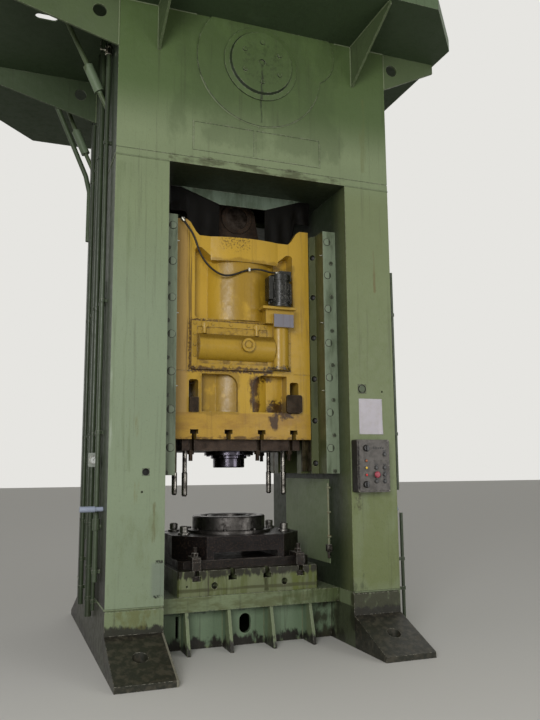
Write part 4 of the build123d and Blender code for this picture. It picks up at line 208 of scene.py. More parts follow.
def relief(tree, coats, corner=None):
    """Chain bumps, each a height socket with its depth in millimetres; corner rounds the edges first."""
    normal = None
    if corner is not None:
        normal = node(tree, "Bevel", {"Radius": mm(corner)}, samples=4).outputs[0]
    for height, depth in coats:
        links = {"Height": height, "Distance": mm(depth), "Strength": 1.0}
        if normal is not None:
            links["Normal"] = normal
        normal = node(tree, "Bump", links).outputs[0]
    return normal


def finish_skin(tree, shader, base, layers, dulling, coats, corner):
    """Wire up a skin: its layered colour, a roughness between two values along a mask, and its relief."""
    mask, smoothest, dullest = dulling
    tree.links.new(layered(tree, base, layers), shader.inputs["Base Color"])
    dull = node(tree, "MapRange", {"Value": mask, "To Min": smoothest, "To Max": dullest}).outputs[0]
    tree.links.new(dull, shader.inputs["Roughness"])
    tree.links.new(relief(tree, coats, corner), shader.inputs["Normal"])


# Brushed machine enamel: a satin skin that waves a little over the plates and dulls in patches. Dirt runs
# down it and the corners are rubbed to pale primer, so flat plates don't look flat. Its peel is drawn 7 mm
# wide, coarser than it is, so that it shows from the camera.
def enamel(name, colour, shade=0.72, dirt="#2a241c", gloss=0.42, streaks=0.35, wear=0.5, marks=(),
           primer="#9a9788"):
    finish, tree, shader, place = new_finish(name)
    broad = patches(tree, place, 1100, 0.38, 0.64, detail=3.0)
    fine = patches(tree, place, 60, 0.45, 0.75, detail=8.0)
    runs = patches(tree, place, 38, 0.56, 0.74, stretch=(1, 1, 0.035), detail=6.0)
    grime = patches(tree, place, 9, 0.60, 0.72, detail=4.0)
    edge = rubbed_edges(tree, 9)
    chips = patches(tree, place, 22, 0.50, 0.56, detail=8.0)
    dull_paint = darker(colour, shade)
    layers = [(broad, dull_paint), (meet(tree, fine, 0.3), dull_paint)]
    layers += [lay(tree, place) for lay in marks]
    layers += [(meet(tree, runs, streaks), linear(dirt)), (meet(tree, grime, 0.35), linear(dirt)),
               (meet(tree, edge, chips, wear), linear(primer))]
    waves = patches(tree, place, 190, 0.2, 0.8, detail=2.0)
    lumps = patches(tree, place, 42, 0.25, 0.75, detail=3.0)
    peel = patches(tree, place, 7, 0.2, 0.8, detail=3.0)
    finish_skin(tree, shader, paint(colour), layers, (fine, gloss, min(0.95, gloss + 0.2)),
                [(waves, 2.2), (lumps, 0.8), (peel, 0.16), (edge, -0.8)], corner=5)
    shader.inputs["IOR"].default_value = 1.5
    # Dust and dried oil on the skin take part of its shine
    shader.inputs["Specular IOR Level"].default_value = 0.32
    return finish


# Turned or milled steel: bright with tool marks, dulled where brown oil has dried on it. The marks are drawn
# 3 mm wide, coarser than a cutter leaves them, so that they show.
def machined(name, colour, stained="#1c1814", rough=0.3, stains=0.5, low=0.48):
    finish, tree, shader, place = new_finish(name)
    marks = patches(tree, place, 3, 0.3, 0.7, detail=2.0)
    oil = meet(tree, patches(tree, place, 70, low, 0.66, detail=7.0), stains)
    layers = [(meet(tree, marks, 0.25), linear("#8a8a88")), (oil, linear(stained))]
    shader.inputs["Metallic"].default_value = 1.0
    finish_skin(tree, shader, linear(colour), layers, (oil, rough, rough + 0.3), [(marks, 0.05)], corner=2)
    return finish


# Black-brown scale on forged or cast steel, soaked with oil: dull crumbs of rust, and bare metal along the
# edges where parts and tools rub
def scaled_steel(name, colour, shade, bright="#5d5550", wear=0.7, gloss=0.38, metal=0.35, crumb="#4c3a2c",
                 marks=()):
    finish, tree, shader, place = new_finish(name)
    scale = patches(tree, place, 90, 0.36, 0.66, detail=8.0)
    crumbs = patches(tree, place, 14, 0.52, 0.66, detail=8.0)
    edge = rubbed_edges(tree, 7)
    rub = meet(tree, edge, patches(tree, place, 50, 0.38, 0.58, detail=6.0))
    layers = [(scale, linear(shade)), (meet(tree, crumbs, 0.45), linear(crumb))]
    layers += [lay(tree, place) for lay in marks]
    layers.append((meet(tree, rub, wear), linear(bright)))
    shader.inputs["Metallic"].default_value = metal
    finish_skin(tree, shader, linear(colour), layers, (scale, gloss, gloss + 0.25),
                [(scale, 1.2), (crumbs, 0.9), (edge, -1.0)], corner=4)
    # Soot and rust scatter instead of shine
    shader.inputs["Specular IOR Level"].default_value = 0.25
    return finish


# Moulded plastic or rubber: one even colour with a fine grain, and dust that turns it greyer in specks. The
# grain is drawn wider than a mould leaves it, so that it shows.
def moulded(name, colour, rough=0.45, grain=1.2, depth=0.03, dust=0.15, dusty="#77736a", corner=1.5,
            shine=0.5):
    finish, tree, shader, place = new_finish(name)
    specks = patches(tree, place, 25, 0.5, 0.72, detail=6.0)
    layers = [(meet(tree, specks, dust), linear(dusty))]
    skin = patches(tree, place, grain, 0.2, 0.8, detail=2.0)
    finish_skin(tree, shader, linear(colour), layers, (specks, rough, rough + 0.15), [(skin, depth)], corner)
    shader.inputs["IOR"].default_value = 1.52
    shader.inputs["Specular IOR Level"].default_value = shine
    return finish


# Mesh building

def piece(name, shape, body, finish, smooth=False):
    """Turn a bmesh into one piece of the scene, with clean outward normals, that rides on a body."""
    bmesh.ops.recalc_face_normals(shape, faces=shape.faces)
    mesh = bpy.data.meshes.new(name)
    shape.to_mesh(mesh)
    shape.free()
    made = bpy.data.objects.new(name, mesh)
    bpy.context.scene.collection.objects.link(made)
    mesh.materials.append(finish)
    if smooth:
        for face in mesh.polygons:
            face.use_smooth = True
    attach(made, body)
    return made


def add_tube(shape, points, radius, sides=8, wobble=0.0):
    """Add a closed tube along points, in metres; wobble makes the radius uneven, as in a weld bead."""
    rings = []
    for i, point in enumerate(points):
        before = points[max(i - 1, 0)]
        after = points[min(i + 1, len(points) - 1)]
        along = (after - before).normalized()
        side = along.cross(Vector((0, 0, 1)) if abs(along.z) < 0.9 else Vector((1, 0, 0))).normalized()
        up = side.cross(along).normalized()
        size = radius * (1 + wobble * noise.noise(point * 60))
        ring = []
        for k in range(sides):
            turn = 2 * pi * k / sides
            ring.append(shape.verts.new(point + size * (side * cos(turn) + up * sin(turn))))
        rings.append(ring)
    for one, two in zip(rings, rings[1:]):
        for k in range(sides):
            shape.faces.new((one[k], one[(k + 1) % sides], two[(k + 1) % sides], two[k]))
    shape.faces.new(list(reversed(rings[0])))
    shape.faces.new(rings[-1])


def add_turned(shape, profile, place, steps=24):
    """Add a solid turned from a (radius, height) profile in millimetres; place is its matrix."""
    rings = []
    for radius, height in profile:
        if radius == 0:
            rings.append([shape.verts.new(place @ Vector((0, 0, mm(height))))])
            continue
        ring = []
        for k in range(steps):
            turn = 2 * pi * k / steps
            ring.append(shape.verts.new(place @ mm(radius * cos(turn), radius * sin(turn), height)))
        rings.append(ring)
    for one, two in zip(rings, rings[1:]):
        for k in range(steps):
            corners = [one[k % len(one)], one[(k + 1) % len(one)], two[(k + 1) % len(two)], two[k % len(two)]]
            unique = list(dict.fromkeys(corners))
            if len(unique) > 2:
                shape.faces.new(unique)


def add_plate(shape, low, high, corner):
    """Add a block between two corners in millimetres, with its edges rounded off."""
    made = bmesh.ops.create_cube(shape, size=1.0)["verts"]
    size = [h - l for l, h in zip(low, high)]
    middle = [(h + l) / 2 for l, h in zip(low, high)]
    bmesh.ops.scale(shape, vec=mm(*size), verts=made)
    bmesh.ops.translate(shape, vec=mm(*middle), verts=made)
    edges = list(dict.fromkeys(edge for vert in made for edge in vert.link_edges))
    bmesh.ops.bevel(shape, geom=edges, offset=mm(corner), segments=2, affect="EDGES")


def add_ribbon(shape, grid, thickness):
    """Add a thin sheet through a grid of points in metres; the thickness is in millimetres."""
    rows = [[shape.verts.new(point) for point in row] for row in grid]
    faces = []
    for one, two in zip(rows, rows[1:]):
        for k in range(len(one) - 1):
            faces.append(shape.faces.new((one[k], one[k + 1], two[k + 1], two[k])))
    bmesh.ops.solidify(shape, geom=faces, thickness=mm(thickness))


def standing(x, y, z, angle, axis):
    """Matrix that stands a turned form at a point in millimetres, tipped by degrees about an axis."""
    return Matrix.Translation(mm(x, y, z)) @ Matrix.Rotation(radians(angle), 4, axis)


def facing_front(x, y, z):
    """Stand a turned form at a point with its top towards the front."""
    return standing(x, y, z, 90, "X")


def facing_rear(x, y, z):
    """Stand a turned form at a point with its top towards the rear."""
    return standing(x, y, z, -90, "X")


def facing_side(side, x, y, z):
    """Stand a turned form at a point with its top towards one side, -1 left or 1 right."""
    return standing(x, y, z, 90 * side, "Y")


def line(start, end, step=12):
    """Points from start to end, in millimetres, one every step, as metres."""
    first, last = mm(*start), mm(*end)
    count = max(2, int((last - first).length * 1000 / step))
    return [first.lerp(last, i / count) for i in range(count + 1)]


def ring_line(x, y, z, radius, start, end, count):
    """Points on an upright circle seen from the front, from one angle to another in degrees, as metres."""
    turns = [radians(start + (end - start) * i / count) for i in range(count + 1)]
    return [mm(x + radius * cos(turn), y, z + radius * sin(turn)) for turn in turns]


def smooth_step(share):
    """Ease from 0 to 1."""
    share = min(1.0, max(0.0, share))
    return share * share * (3 - 2 * share)


# Settings

class PressSettings(bpy.types.PropertyGroup):
    frame_colour: FloatVectorProperty(name="Frame enamel", description="Sage green of the frame", size=4,
                                      subtype="COLOR", min=0, max=1, default=linear("#74805f"))
    # The walkway's green is darkened for soot and for painted shade under the walkway
    deck_colour: FloatVectorProperty(name="Walkway enamel", description="Sooty green of the walkway", size=4,
                                     subtype="COLOR", min=0, max=1, default=linear("#596b4d"))
    slide_colour: FloatVectorProperty(name="Slide enamel", description="Ochre of slide and covers", size=4,
                                      subtype="COLOR", min=0, max=1, default=linear("#b5912d"))
    cable_diameter: FloatProperty(name="Cable diameter", description="Outside diameter of the motor's cable",
                                  default=0.018, min=0.008, max=0.03, unit="LENGTH")
    weld_radius: FloatProperty(name="Weld bead", description="Radius of the beads along the frame's seams",
                               default=0.007, min=0.002, max=0.02, unit="LENGTH")
    apron_fold: FloatProperty(name="Apron folds", description="Depth of the folds in the rubber aprons",
                              default=0.022, min=0.0, max=0.04, unit="LENGTH")
    notice_height: FloatProperty(name="Notice height", description="Height of the plain notice sheet",
                                 default=0.316, min=0.1, max=0.5, unit="LENGTH")


def dress(names, finish):
    """Give CAD nodes a finish through their material slots."""
    for name in names:
        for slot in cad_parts[name].material_slots:
            slot.material = finish


# Sage enamel of the columns and the crown: chalky green, brown runs below the joints, and painted shade
# that grows towards the walkway and lies on the faces that look at the slide
def column_finish(settings):
    """Finish of both columns."""
    front, behind = -HALF_DEPTH - SKIN, -HALF_DEPTH + SKIN
    plate_low, plate_high = (-505, 635), (565, 1405)
    return enamel("sage_enamel", settings.frame_colour, 0.84, marks=[
        # Painted shade on the left sides, and lighter painted shade on the right sides
        facing(LEFT, "#242d1f", 0.9),
        facing(RIGHT, "#48553b", 0.5),
        # Painted shade on the inner faces, with their wear plates left paler
        film((-OPENING - 6, behind, BED_TOP), (OPENING + 6, HALF_DEPTH - 10, CROWN_BOTTOM), "#232c1b", 0.9,
             soft=4),
        film((1.5 - OPENING, *plate_low), (OPENING - 1.5, *plate_high), "#6b7858", 1.0, soft=1),
        film((6.5 - OPENING, *plate_low), (OPENING - 6.5, *plate_high), "#6b7858", 0.95, soft=2),
        # Front of the right column: yellower low down, a brown run high up, and oil under the control box
        film((OPENING, front, BED_TOP), (HALF_WIDTH, behind, 3900), "#68704a", 0.55, soft=300),
        stain((OPENING, front, 600), (HALF_WIDTH, behind, 1250), "#5f6839", 0.6, soft=200, size=220),
        stain((1103, front, 3100), (1105, behind, 3480), "#5f4a26", 0.55, soft=34, size=50, runs=0.1,
              cover=0.3),
        stain((880, front, 1150), (890, behind, 1250), "#38311c", 0.7, soft=90, size=34, runs=0.6, cover=0.3),
        # Front of the left column: paler low down, rust runs, a painted highlight along its left edge, and a
        # grey patch between two smears
        film((-HALF_WIDTH, front, BED_TOP), (-OPENING, behind, 2600), "#7a8771", 0.6, soft=(2, 2, 1200)),
        stain((-915, front, 980), (-905, behind, 1180), "#57532f", 0.6, soft=(60, 60, 160), size=34,
              runs=0.2, cover=0.2),
        stain((-1052, front, 1350), (-1048, behind, 1900), "#68653f", 0.5, soft=(110, 110, 260), size=60,
              runs=0.2, cover=0.1),
        stain((-1262, front, 1700), (-1258, behind, 2200), "#a3ab9c", 0.5, soft=(36, 36, 500), size=30,
              runs=0.1, cover=0.2),
        stain((-1260, front, 1500), (-1120, behind, 4000), "#5b6747", 0.5, soft=90, size=60, runs=0.05,
              cover=0.1),
        stain((-1200, front, 500), (-900, behind, 1100), "#626b49", 0.4, soft=200, size=120, runs=0.3,
              cover=0.1),
        film((-900, front, 545), (-835, behind, 765), "#646d63", 0.6, soft=40),
        stain((-884, front, 786), (-838, behind, 790), "#23261d", 1.0, soft=26, size=18, runs=1),
        stain((-896, front, 526), (-832, behind, 530), "#23261d", 1.0, soft=22, size=24, runs=1),
        # Foot of the right column, the holes with painted shade inside them, the seam on the bed and the black
        # foot of the left side
        stain((OPENING, front, BED_TOP), (860, behind, 520), "#3c432b", 0.7, soft=200, size=60, runs=0.4,
              cover=0.3),
        film((-1006, 0.5 - HALF_DEPTH, 1449), (-946, 35 - HALF_DEPTH, 1509), "#0f110c", 1.0, soft=1),
        film((905, -HALF_DEPTH - 3, 2152), (991, -HALF_DEPTH - 1, 2238), "#414c37", 0.9, soft=1),
        film((905, 0.5 - HALF_DEPTH, 2152), (991, 15 - HALF_DEPTH, 2238), "#1a1d14", 0.95, soft=1),
        film((-FAR, front, BED_TOP), (FAR, behind, BED_TOP + 5), "#2d3124", 0.85, soft=7),
        film((-FAR, behind, BED_TOP), (-HALF_WIDTH + 2, FAR, 600), "#1a1813", 0.95, soft=(8, 8, 700))])


def crown_finish(settings):
    """Finish of the crown and of the cover on its shaft's end."""
    front, behind = -HALF_DEPTH - SKIN, -HALF_DEPTH + SKIN
    return enamel("sage_enamel_high", settings.frame_colour, 0.84, marks=[
        # Painted shade that grows with height, a darker broken patch in the middle, and painted shade on its
        # sides and underside
        film((-FAR, -FAR, 4800), (FAR, FAR, FAR), "#43552d", 0.9, soft=500),
        stain((-700, -FAR, 4400), (700, behind, 5400), "#394628", 0.35, soft=300, size=240, runs=0.6),
        facing(LEFT, "#232c1f", 0.9),
        facing(RIGHT, "#48553b", 0.6),
        facing(DOWN, "#20281b", 0.95),
        # Painted shade inside, and the sloping guard over the slide
        film((-OPENING + 5, 85 - HALF_DEPTH, 4150), (OPENING - 5, HALF_DEPTH - 85, 6095), "#201f15", 0.95,
             soft=4),
        film((-640, -445, 3940), (640, -425, CROWN_BOTTOM - 1), "#4f5c51", 0.85, soft=2),
        stain((-640, -445, 3940), (640, -425, CROWN_BOTTOM - 1), "#2e3826", 0.7, soft=20, size=110,
              cover=0.3),
        # Old oil along the lower edge, below the shaft's cover and round it
        stain((-800, front, CROWN_BOTTOM), (800, behind, 4130), "#35361f", 0.7, soft=80, size=60,
              sideways=0.4, cover=0.3),
        stain((1000, front, 4250), (1030, behind, 4950), "#59592f", 0.4, soft=70, size=70, runs=0.1,
              cover=0.2),
        stain((-4, -FAR, 4560), (4, -HALF_DEPTH - 4, 5100), "#232a1a", 0.85, soft=24, size=40, runs=0.2),
        stain((-150, -FAR, 4960), (150, -HALF_DEPTH - 4, 5260), "#2d3520", 0.5, soft=160, size=30,
              runs=1, cover=0.1)])


def bed_finish(settings):
    """Finish of the bed: its feet are black with trodden oil, the panels behind the ribs a cooler green."""
    front, behind = -HALF_DEPTH - SKIN, -HALF_DEPTH + SKIN
    toe = 270
    marks = [
        # Panels behind the ribs and the table's front edge
        film((-812, -560, 30), (812, -400, 335), "#64775f", 0.85, soft=20),
        stain((-812, -700, 300), (812, -400, 330), "#2d3430", 0.8, soft=50, size=120, runs=1, cover=0.1),
        stain((-FAR, -700, 0), (FAR, 700, 20), "#1f1d17", 1.0, soft=150, size=60, runs=0.5, cover=0.6),
        stain((-FAR, -655, 335), (FAR, -636, BED_TOP), "#4a4d2b", 0.7, soft=30, size=70, sideways=0.3,
              cover=0.2),
        stain((300, -655, 331), (FAR, -636, BED_TOP), "#39441f", 0.7, soft=60, size=60),
        # Right end, soaked with oil
        stain((840, front, 250), (FAR, -930, 400), "#2b2a1b", 0.9, soft=160, size=70, runs=0.5, cover=0.7),
        stain((700, -640, 30), (FAR, -400, 330), "#2b2a1c", 0.85, soft=160, size=70, runs=0.5, cover=0.4),
        # Toes: trodden oil with dust on it, and a painted highlight on the inner edge of the left toe
        film((-FAR, -FAR, -10), (FAR, -HALF_DEPTH - 4, toe), "#1c1b16", 0.96, soft=6),
        film((-FAR, HALF_DEPTH + 4, -10), (FAR, FAR, toe), "#1c1b16", 0.96, soft=6),
        stain((-FAR, front, 180), (FAR, behind, 275), "#1e1c16", 0.95, soft=90, size=60, runs=0.6, cover=0.9),
        stain((-FAR, -FAR, -10), (FAR, front, toe), "#4b463a", 0.5, soft=20, size=50, runs=1, cover=0.2),
        film((-834, -FAR, 0), (-812, front, 262), "#8b8878", 0.6, soft=3),
        # Left end, the sides of the bed and the seam under the columns
        stain((-1180, front, 330), (-900, behind, 420), "#5a5a2e", 0.6, soft=70, size=60, runs=0.5, cover=0.3),
        film((-FAR, -945, -10), (-HALF_WIDTH + 2, FAR, BED_TOP), "#1e1b16", 0.9, soft=6),
        film((812, -945, -10), (FAR, -600, 330), "#2b2e20", 0.8, soft=6),
        film((-FAR, front, BED_TOP - 6), (FAR, behind, BED_TOP), "#2d3124", 0.8, soft=5)]
    return enamel("bed_enamel", darker(settings.frame_colour, 0.9), 0.82, streaks=0.55, gloss=0.4, wear=0.7,
                  marks=marks)


def frame_finishes(settings):
    """Finishes of the columns, crown, bed, bolster, guides and walkway."""
    dress(["left_column", "right_column"], column_finish(settings))
    dress(["crown", "shaft_end_cover"], crown_finish(settings))
    dress(["bed"], bed_finish(settings))
    # The same enamel on the walkway, its own colour darkened for soot and painted shade, almost black green
    # under it with painted shade, and browner on top
    soot_and_shade = enamel("soot_and_shade_enamel", settings.deck_colour, 0.75, streaks=0.4, gloss=0.5, marks=[
        facing(DOWN, "#2c3a24", 0.85),
        facing(UP, "#3a372c", 0.8)])
    dress(["platform_deck"], soot_and_shade)
    # Brackets and their struts: a deeper green, with paler sleeves on the struts, and painted shade on the
    # faces that look to the rear
    sleeve = "#64735a"
    dress(["platform_brackets"], enamel("bracket_enamel", "#4d5a3c", 0.78, streaks=0.5, marks=[
        film((-1480, -480, 4860), (-1330, -380, 5115), sleeve, 0.9, soft=4),
        film((-1480, 830, 4840), (-1320, 930, 5100), sleeve, 0.9, soft=4),
        film((-FAR, 500, 0), (-HALF_WIDTH, 600, FAR), "#37442f", 0.7, soft=4),
        facing(REAR, "#2c3626", 0.8)]))
    # Guides: oil creeps over the inner faces, the front strips are wiped and stay pale
    dress(["guide_blocks"], enamel("guide_enamel", "#4a5030", 0.72, gloss=0.3, streaks=0.6, marks=[
        film((-FAR, -FAR, 0), (FAR, -727, FAR), "#76826c", 0.95, soft=3),
        film((-FAR, 727, 0), (FAR, FAR, FAR), "#76826c", 0.95, soft=3),
        stain((-FAR, -FAR, 1440), (FAR, -725, 3700), "#454f39", 0.6, soft=5, size=90, runs=0.2, cover=0.1),
        stain((-FAR, -724, 1440), (FAR, -500, 3700), "#22270f", 0.6, soft=20, size=140, runs=0.3,
              cover=0.1)]))
    # Bolster: olive with oil that has run down from the die
    half, front = 640, -640
    dress(["bolster"], enamel("bolster_enamel", "#697050", 0.8, streaks=0.9, gloss=0.3, wear=0.8, marks=[
        stain((-half, front, 455), (half, -615, 655), "#4a5121", 0.7, soft=40, size=60, runs=0.12, cover=0.1),
        stain((430, front, 460), (560, -615, 640), "#4d5518", 0.8, soft=110, size=60, runs=0.3, cover=0.6),
        stain((148, front, 470), (152, -615, 620), "#2f3312", 0.95, soft=36, size=40, runs=0.2, cover=0.8),
        stain((-half, front, 625), (half, -600, 670), "#1c1a10", 0.95, soft=70, size=45, runs=0.4, cover=0.7),
        stain((-half, front, 492), (half, -618, 502), "#3b3d20", 0.8, soft=24, size=90, sideways=0.15),
        facing(UP, "#25241a", 0.95)]))
    # Weathered sage on the drive motor and the flywheel, dusty on top
    dress(["drive_motor", "flywheel"], enamel("motor_enamel", "#5a664f", 0.8, gloss=0.45, marks=[
        facing(UP, "#5b5648", 0.7)]))
    # Painted pipes: dark green, with painted shade on the faces that look left, worn paler towards the front
    dress(["side_pipes"], enamel("pipe_enamel", "#38432e", 0.7, gloss=0.32, streaks=0.5, marks=[
        facing(LEFT, "#20281b", 0.7, least=0.5),
        stain((-FAR, -700, 300), (-HALF_WIDTH, -580, 5000), "#4d5844", 0.6, soft=20, size=300, runs=0.2)]))


# Dirt that runs over the ochre paint, and old oil on it
OCHRE_DIRT = "#4a3618"
OLD_OIL = "#3a2205"


# Ochre enamel of the slide: glossy where oiled, tan on the post that is wiped by the guides, brown-black
# dirt round the covers and below the right pocket
def slide_finish(settings):
    """Finish of the slide itself."""
    face, cut = SLIDE_FACE - 5, SLIDE_FACE + 5
    side, bottom, beam, top = 642, 1758, 1990, 3750
    marks = [
        # Posts that run in the guides, and the lower beam
        film((-side, face, beam), (-560, cut, top), "#a0814a", 0.8, soft=40),
        stain((-545, face, 2350), (-515, cut, 3700), "#4d3c20", 0.8, soft=34, size=13, runs=0.025, cover=0.3),
        stain((560, face, beam), (side, cut, top), "#8c6f2f", 0.6, soft=40, size=30, runs=0.06, cover=0.1),
        film((-side, face, bottom), (side, cut, beam), "#a07c30", 0.6, soft=6),
        stain((-side, face, bottom), (side, cut, beam), "#835f28", 0.5, soft=6, size=120, sideways=0.4,
              cover=0.2),
        # Old oil and painted shade round the cover, specks above the drum, and the drum's browner paint
        stain((-500, face, 2378), (250, cut, 2806), OLD_OIL, 0.95, soft=60, size=20, runs=1, cover=0.7),
        stain((-200, -560, 3530), (0, cut, 3600), "#3c2f17", 0.9, soft=150, size=16, runs=1, cover=0.1),
        stain((-330, -560, 2840), (330, cut, 3385), "#87691a", 0.75, soft=60, size=140, runs=0.5, cover=0.7),
        stain((330, -560, 2900), (470, -370, 3385), "#7d6219", 0.7, soft=60, size=90, runs=0.5),
        # Painted shade along the right pocket's left side, oil from the pocket down to the lower beam, and the
        # duller left pocket
        stain((104, -520, 2080), (108, -290, 2270), "#3c2000", 0.95, soft=120, size=60, runs=0.5, cover=0.85),
        stain((150, -520, 2315), (260, -290, 2320), OLD_OIL, 0.9, soft=80, size=40, runs=1, cover=0.5),
        stain((350, -520, 2030), (400, -290, 2034), "#331b00", 0.95, soft=170, size=50, runs=1, cover=0.85),
        stain((272, face, 1890), (276, cut, 1950), "#331b00", 0.95, soft=80, size=60, runs=0.6, cover=0.9),
        stain((-420, -520, 2000), (-80, -290, 2330), "#86691c", 0.75, soft=60, size=110, runs=1, cover=0.7),
        # Rusty bottom edge, browner faces that look up, and painted shade on the faces that look sideways
        film((-FAR, -494, 1750), (FAR, FAR, 1862), "#2b200c", 0.8, soft=3),
        stain((-FAR, face, 1750), (FAR, cut, 1765), OLD_OIL, 0.8, soft=60, size=50, sideways=0.5, cover=0.3),
        facing(UP, "#4b3c20", 0.75),
        facing(RIGHT, "#7a6430", 0.6, least=0.8),
        facing(LEFT, "#8d7333", 0.5, least=0.8)]
    return enamel("ochre_enamel", settings.slide_colour, 0.86, dirt=OCHRE_DIRT, gloss=0.3, streaks=0.35,
                  marks=marks)


def slide_finishes(settings):
    """Finishes of the slide and of what is bolted to it."""
    colour = settings.slide_colour
    dress(["slide"], slide_finish(settings))
    # Cast covers: the same ochre, wetter with oil, and black where it gathers along their lower edge
    marks = [
        stain((-FAR, -540, 2375), (FAR, FAR, 2385), OLD_OIL, 0.9, soft=50, size=30, sideways=0.6, cover=0.45),
        stain((220, -FAR, 2375), (FAR, FAR, 2385), "#2c1d0b", 0.95, soft=80, size=26, runs=1, cover=0.6),
        stain((-470, -526, 2420), (230, -490, 2765), "#5f4717", 0.7, soft=20, size=60, runs=1, cover=0.2),
        facing(UP, "#5f491e", 0.7)]
    dress(["worm_cover", "drive_housing"],
          enamel("ochre_cover_enamel", darker(colour, 0.8), 0.86, dirt=OCHRE_DIRT, gloss=0.26, streaks=0.3,
                 marks=marks))
    # Coupling box: the same ochre, with the bare grey-violet sheet of its cover plate
    marks = [film((223, -FAR, 2772), (430, -642, 2899), "#6d6b73", 1.0, soft=2), facing(UP, "#4b3c20", 0.8)]
    dress(["coupling_box"],
          enamel("ochre_box_enamel", darker(colour, 0.82), 0.8, dirt=OCHRE_DIRT, gloss=0.34, marks=marks))
    # Black enamel of the motor: glossy with oil, greyer where its fins are rubbed
    dress(["adjusting_motor"],
          enamel("black_enamel", "#1b1b16", 0.8, dirt="#3c382c", gloss=0.25, primer="#8d8a80"))
    # Bronze guide liners under a film of old oil: a dull brown edge with a little gold left
    dress(["guide_liners"],
          machined("oiled_liner_bronze", "#4f4529", stained="#17150e", rough=0.35, stains=0.9, low=0.34))
    # Bolt heads of the guides: painted over with the strips, the small hexagons black with oil
    dress(["guide_bolts"], enamel("painted_bolt_enamel", "#7e8a74", 0.85, gloss=0.35, wear=0.8, marks=[
        film((752, -FAR, 0), (FAR, FAR, FAR), "#2c3122", 0.9, soft=4),
        film((-FAR, -FAR, 0), (-752, FAR, FAR), "#2c3122", 0.9, soft=4)]))
    # Pressed clips and gland: small bright bands on the cable
    dress(["cable_fittings"],
          machined("dull_clip_steel", "#c3c1b6", stained="#5a5442", rough=0.35, stains=0.35))


def drive_finishes():
    """Finishes of the crank train, the adjusting drive and the flywheel drive."""
    # Ground steel: journals that shine between bands of brown oil
    dress(["crankshaft", "pinion_shaft", "crank_pin", "worm_shaft"], machined("ground_steel", "#b9b7b0"))
    # End of the wrist pin: the same steel under a crust of brown grease
    dress(["wrist_pin"], machined("greasy_pin_steel", "#33261a", stained="#120b05", rough=0.55, stains=0.95,
                                  low=0.3))
    # Cast yoke and rod: brown with dried oil and rust, hardly any shine; their tops lighter, partly rust and
    # partly painted light from above
    rusty = scaled_steel("rusty_cast_iron", "#281c0f", "#170f07", bright="#4b3e31", gloss=0.55, metal=0.1,
                         crumb="#4e3116", marks=[facing(UP, "#4c3016", 0.7, least=0.3)])
    dress(["connecting_rod", "rod_cap", "adjusting_screw"], rusty)
    # Cast and cut iron: dark grey blanks with pale rubbed teeth and rims
    dress(["bull_gear", "clutch_brake", "motor_pulley"],
          scaled_steel("machined_iron", "#4b443b", "#37302a", bright="#8a867c"))
    # Cast bronze: dull gold under brown oil
    dress(["shaft_bushes", "adjusting_nut"],
          machined("oiled_bronze", "#a9813f", stained="#3a2a12", rough=0.3))
    # Rolled rod and turned ring: plain grey steel under an old brown film
    dress(["tie_rods", "nut_retainer"], machined("dull_rod_steel", "#77736a", stained="#2c261d", rough=0.42,
                                                 stains=0.7))
    # V-belts: black rubber gone grey at the rubbed sides
    dress(["drive_belts"], moulded("belt_rubber", "#1b1b18", rough=0.6, grain=2.5, depth=0.08, dust=0.35))
    # Vulcanised rubber of the plain solids that the scene's own cable and aprons stand for
    dress(["oil_apron", "motor_cable"], moulded("black_rubber", "#131310", rough=0.5))


def die_finishes():
    """Finishes of the trimming die and of what clamps it."""
    # Hardened and ground pins: a cold shine broken by streaks of oil
    dress(["guide_pins"], machined("ground_pin_steel", "#9a958d", low=0.4, stains=0.9, rough=0.2))
    # Punch: polished by the flash it cuts, blue-violet where oil film lies on it
    dress(["punch"], machined("oiled_punch_steel", "#4a4552", stained="#0f0d0e", rough=0.14, stains=0.75))
    # Hardened ring: worn grey along the cut, black with burnt oil elsewhere
    dress(["trimming_ring"], machined("cut_ring_steel", "#5d5956", stained="#120f0c", rough=0.28, stains=0.9,
                                      low=0.36))
    # Turned bushes: paler than the block they sit in
    dress(["guide_bushes"], machined("bush_steel", "#8a8781", stained="#1c1814", rough=0.35, stains=0.7))
    # Forged die steel: nearly black and wet with oil, its edges rubbed bare
    dress(["lower_die_block"],
          scaled_steel("oily_die_steel", "#181313", "#0e0b0b", bright="#5a5350", gloss=0.3, wear=0.8))
    # Cast shoe: a shade lighter than the block
    dress(["lower_die_shoe"],
          scaled_steel("oily_shoe_steel", "#201c19", "#13100e", bright="#6a635c", gloss=0.32, wear=0.9))
    # Forged clamps: pale on top, where spanners slide over them
    dress(["die_clamps"],
          scaled_steel("clamp_steel", "#2a2622", "#191613", bright="#a19c94", gloss=0.3, wear=1.0,
                       marks=[facing(UP, "#8d8780", 0.55, least=0.8)]))
    # Flame-cut plate: brown rust in crumbs over dark scale
    dress(["upper_die_plate"],
          scaled_steel("rusty_plate_steel", "#3d3128", "#271e18", bright="#7d7468", crumb="#5f4630"))
    # Rolled bar: the darkest rust, soaked with oil
    dress(["upper_bolts", "knockout_bars"],
          scaled_steel("rusty_bar_steel", "#2b2012", "#1b1309", bright="#6a5f50", crumb="#4a3219"))


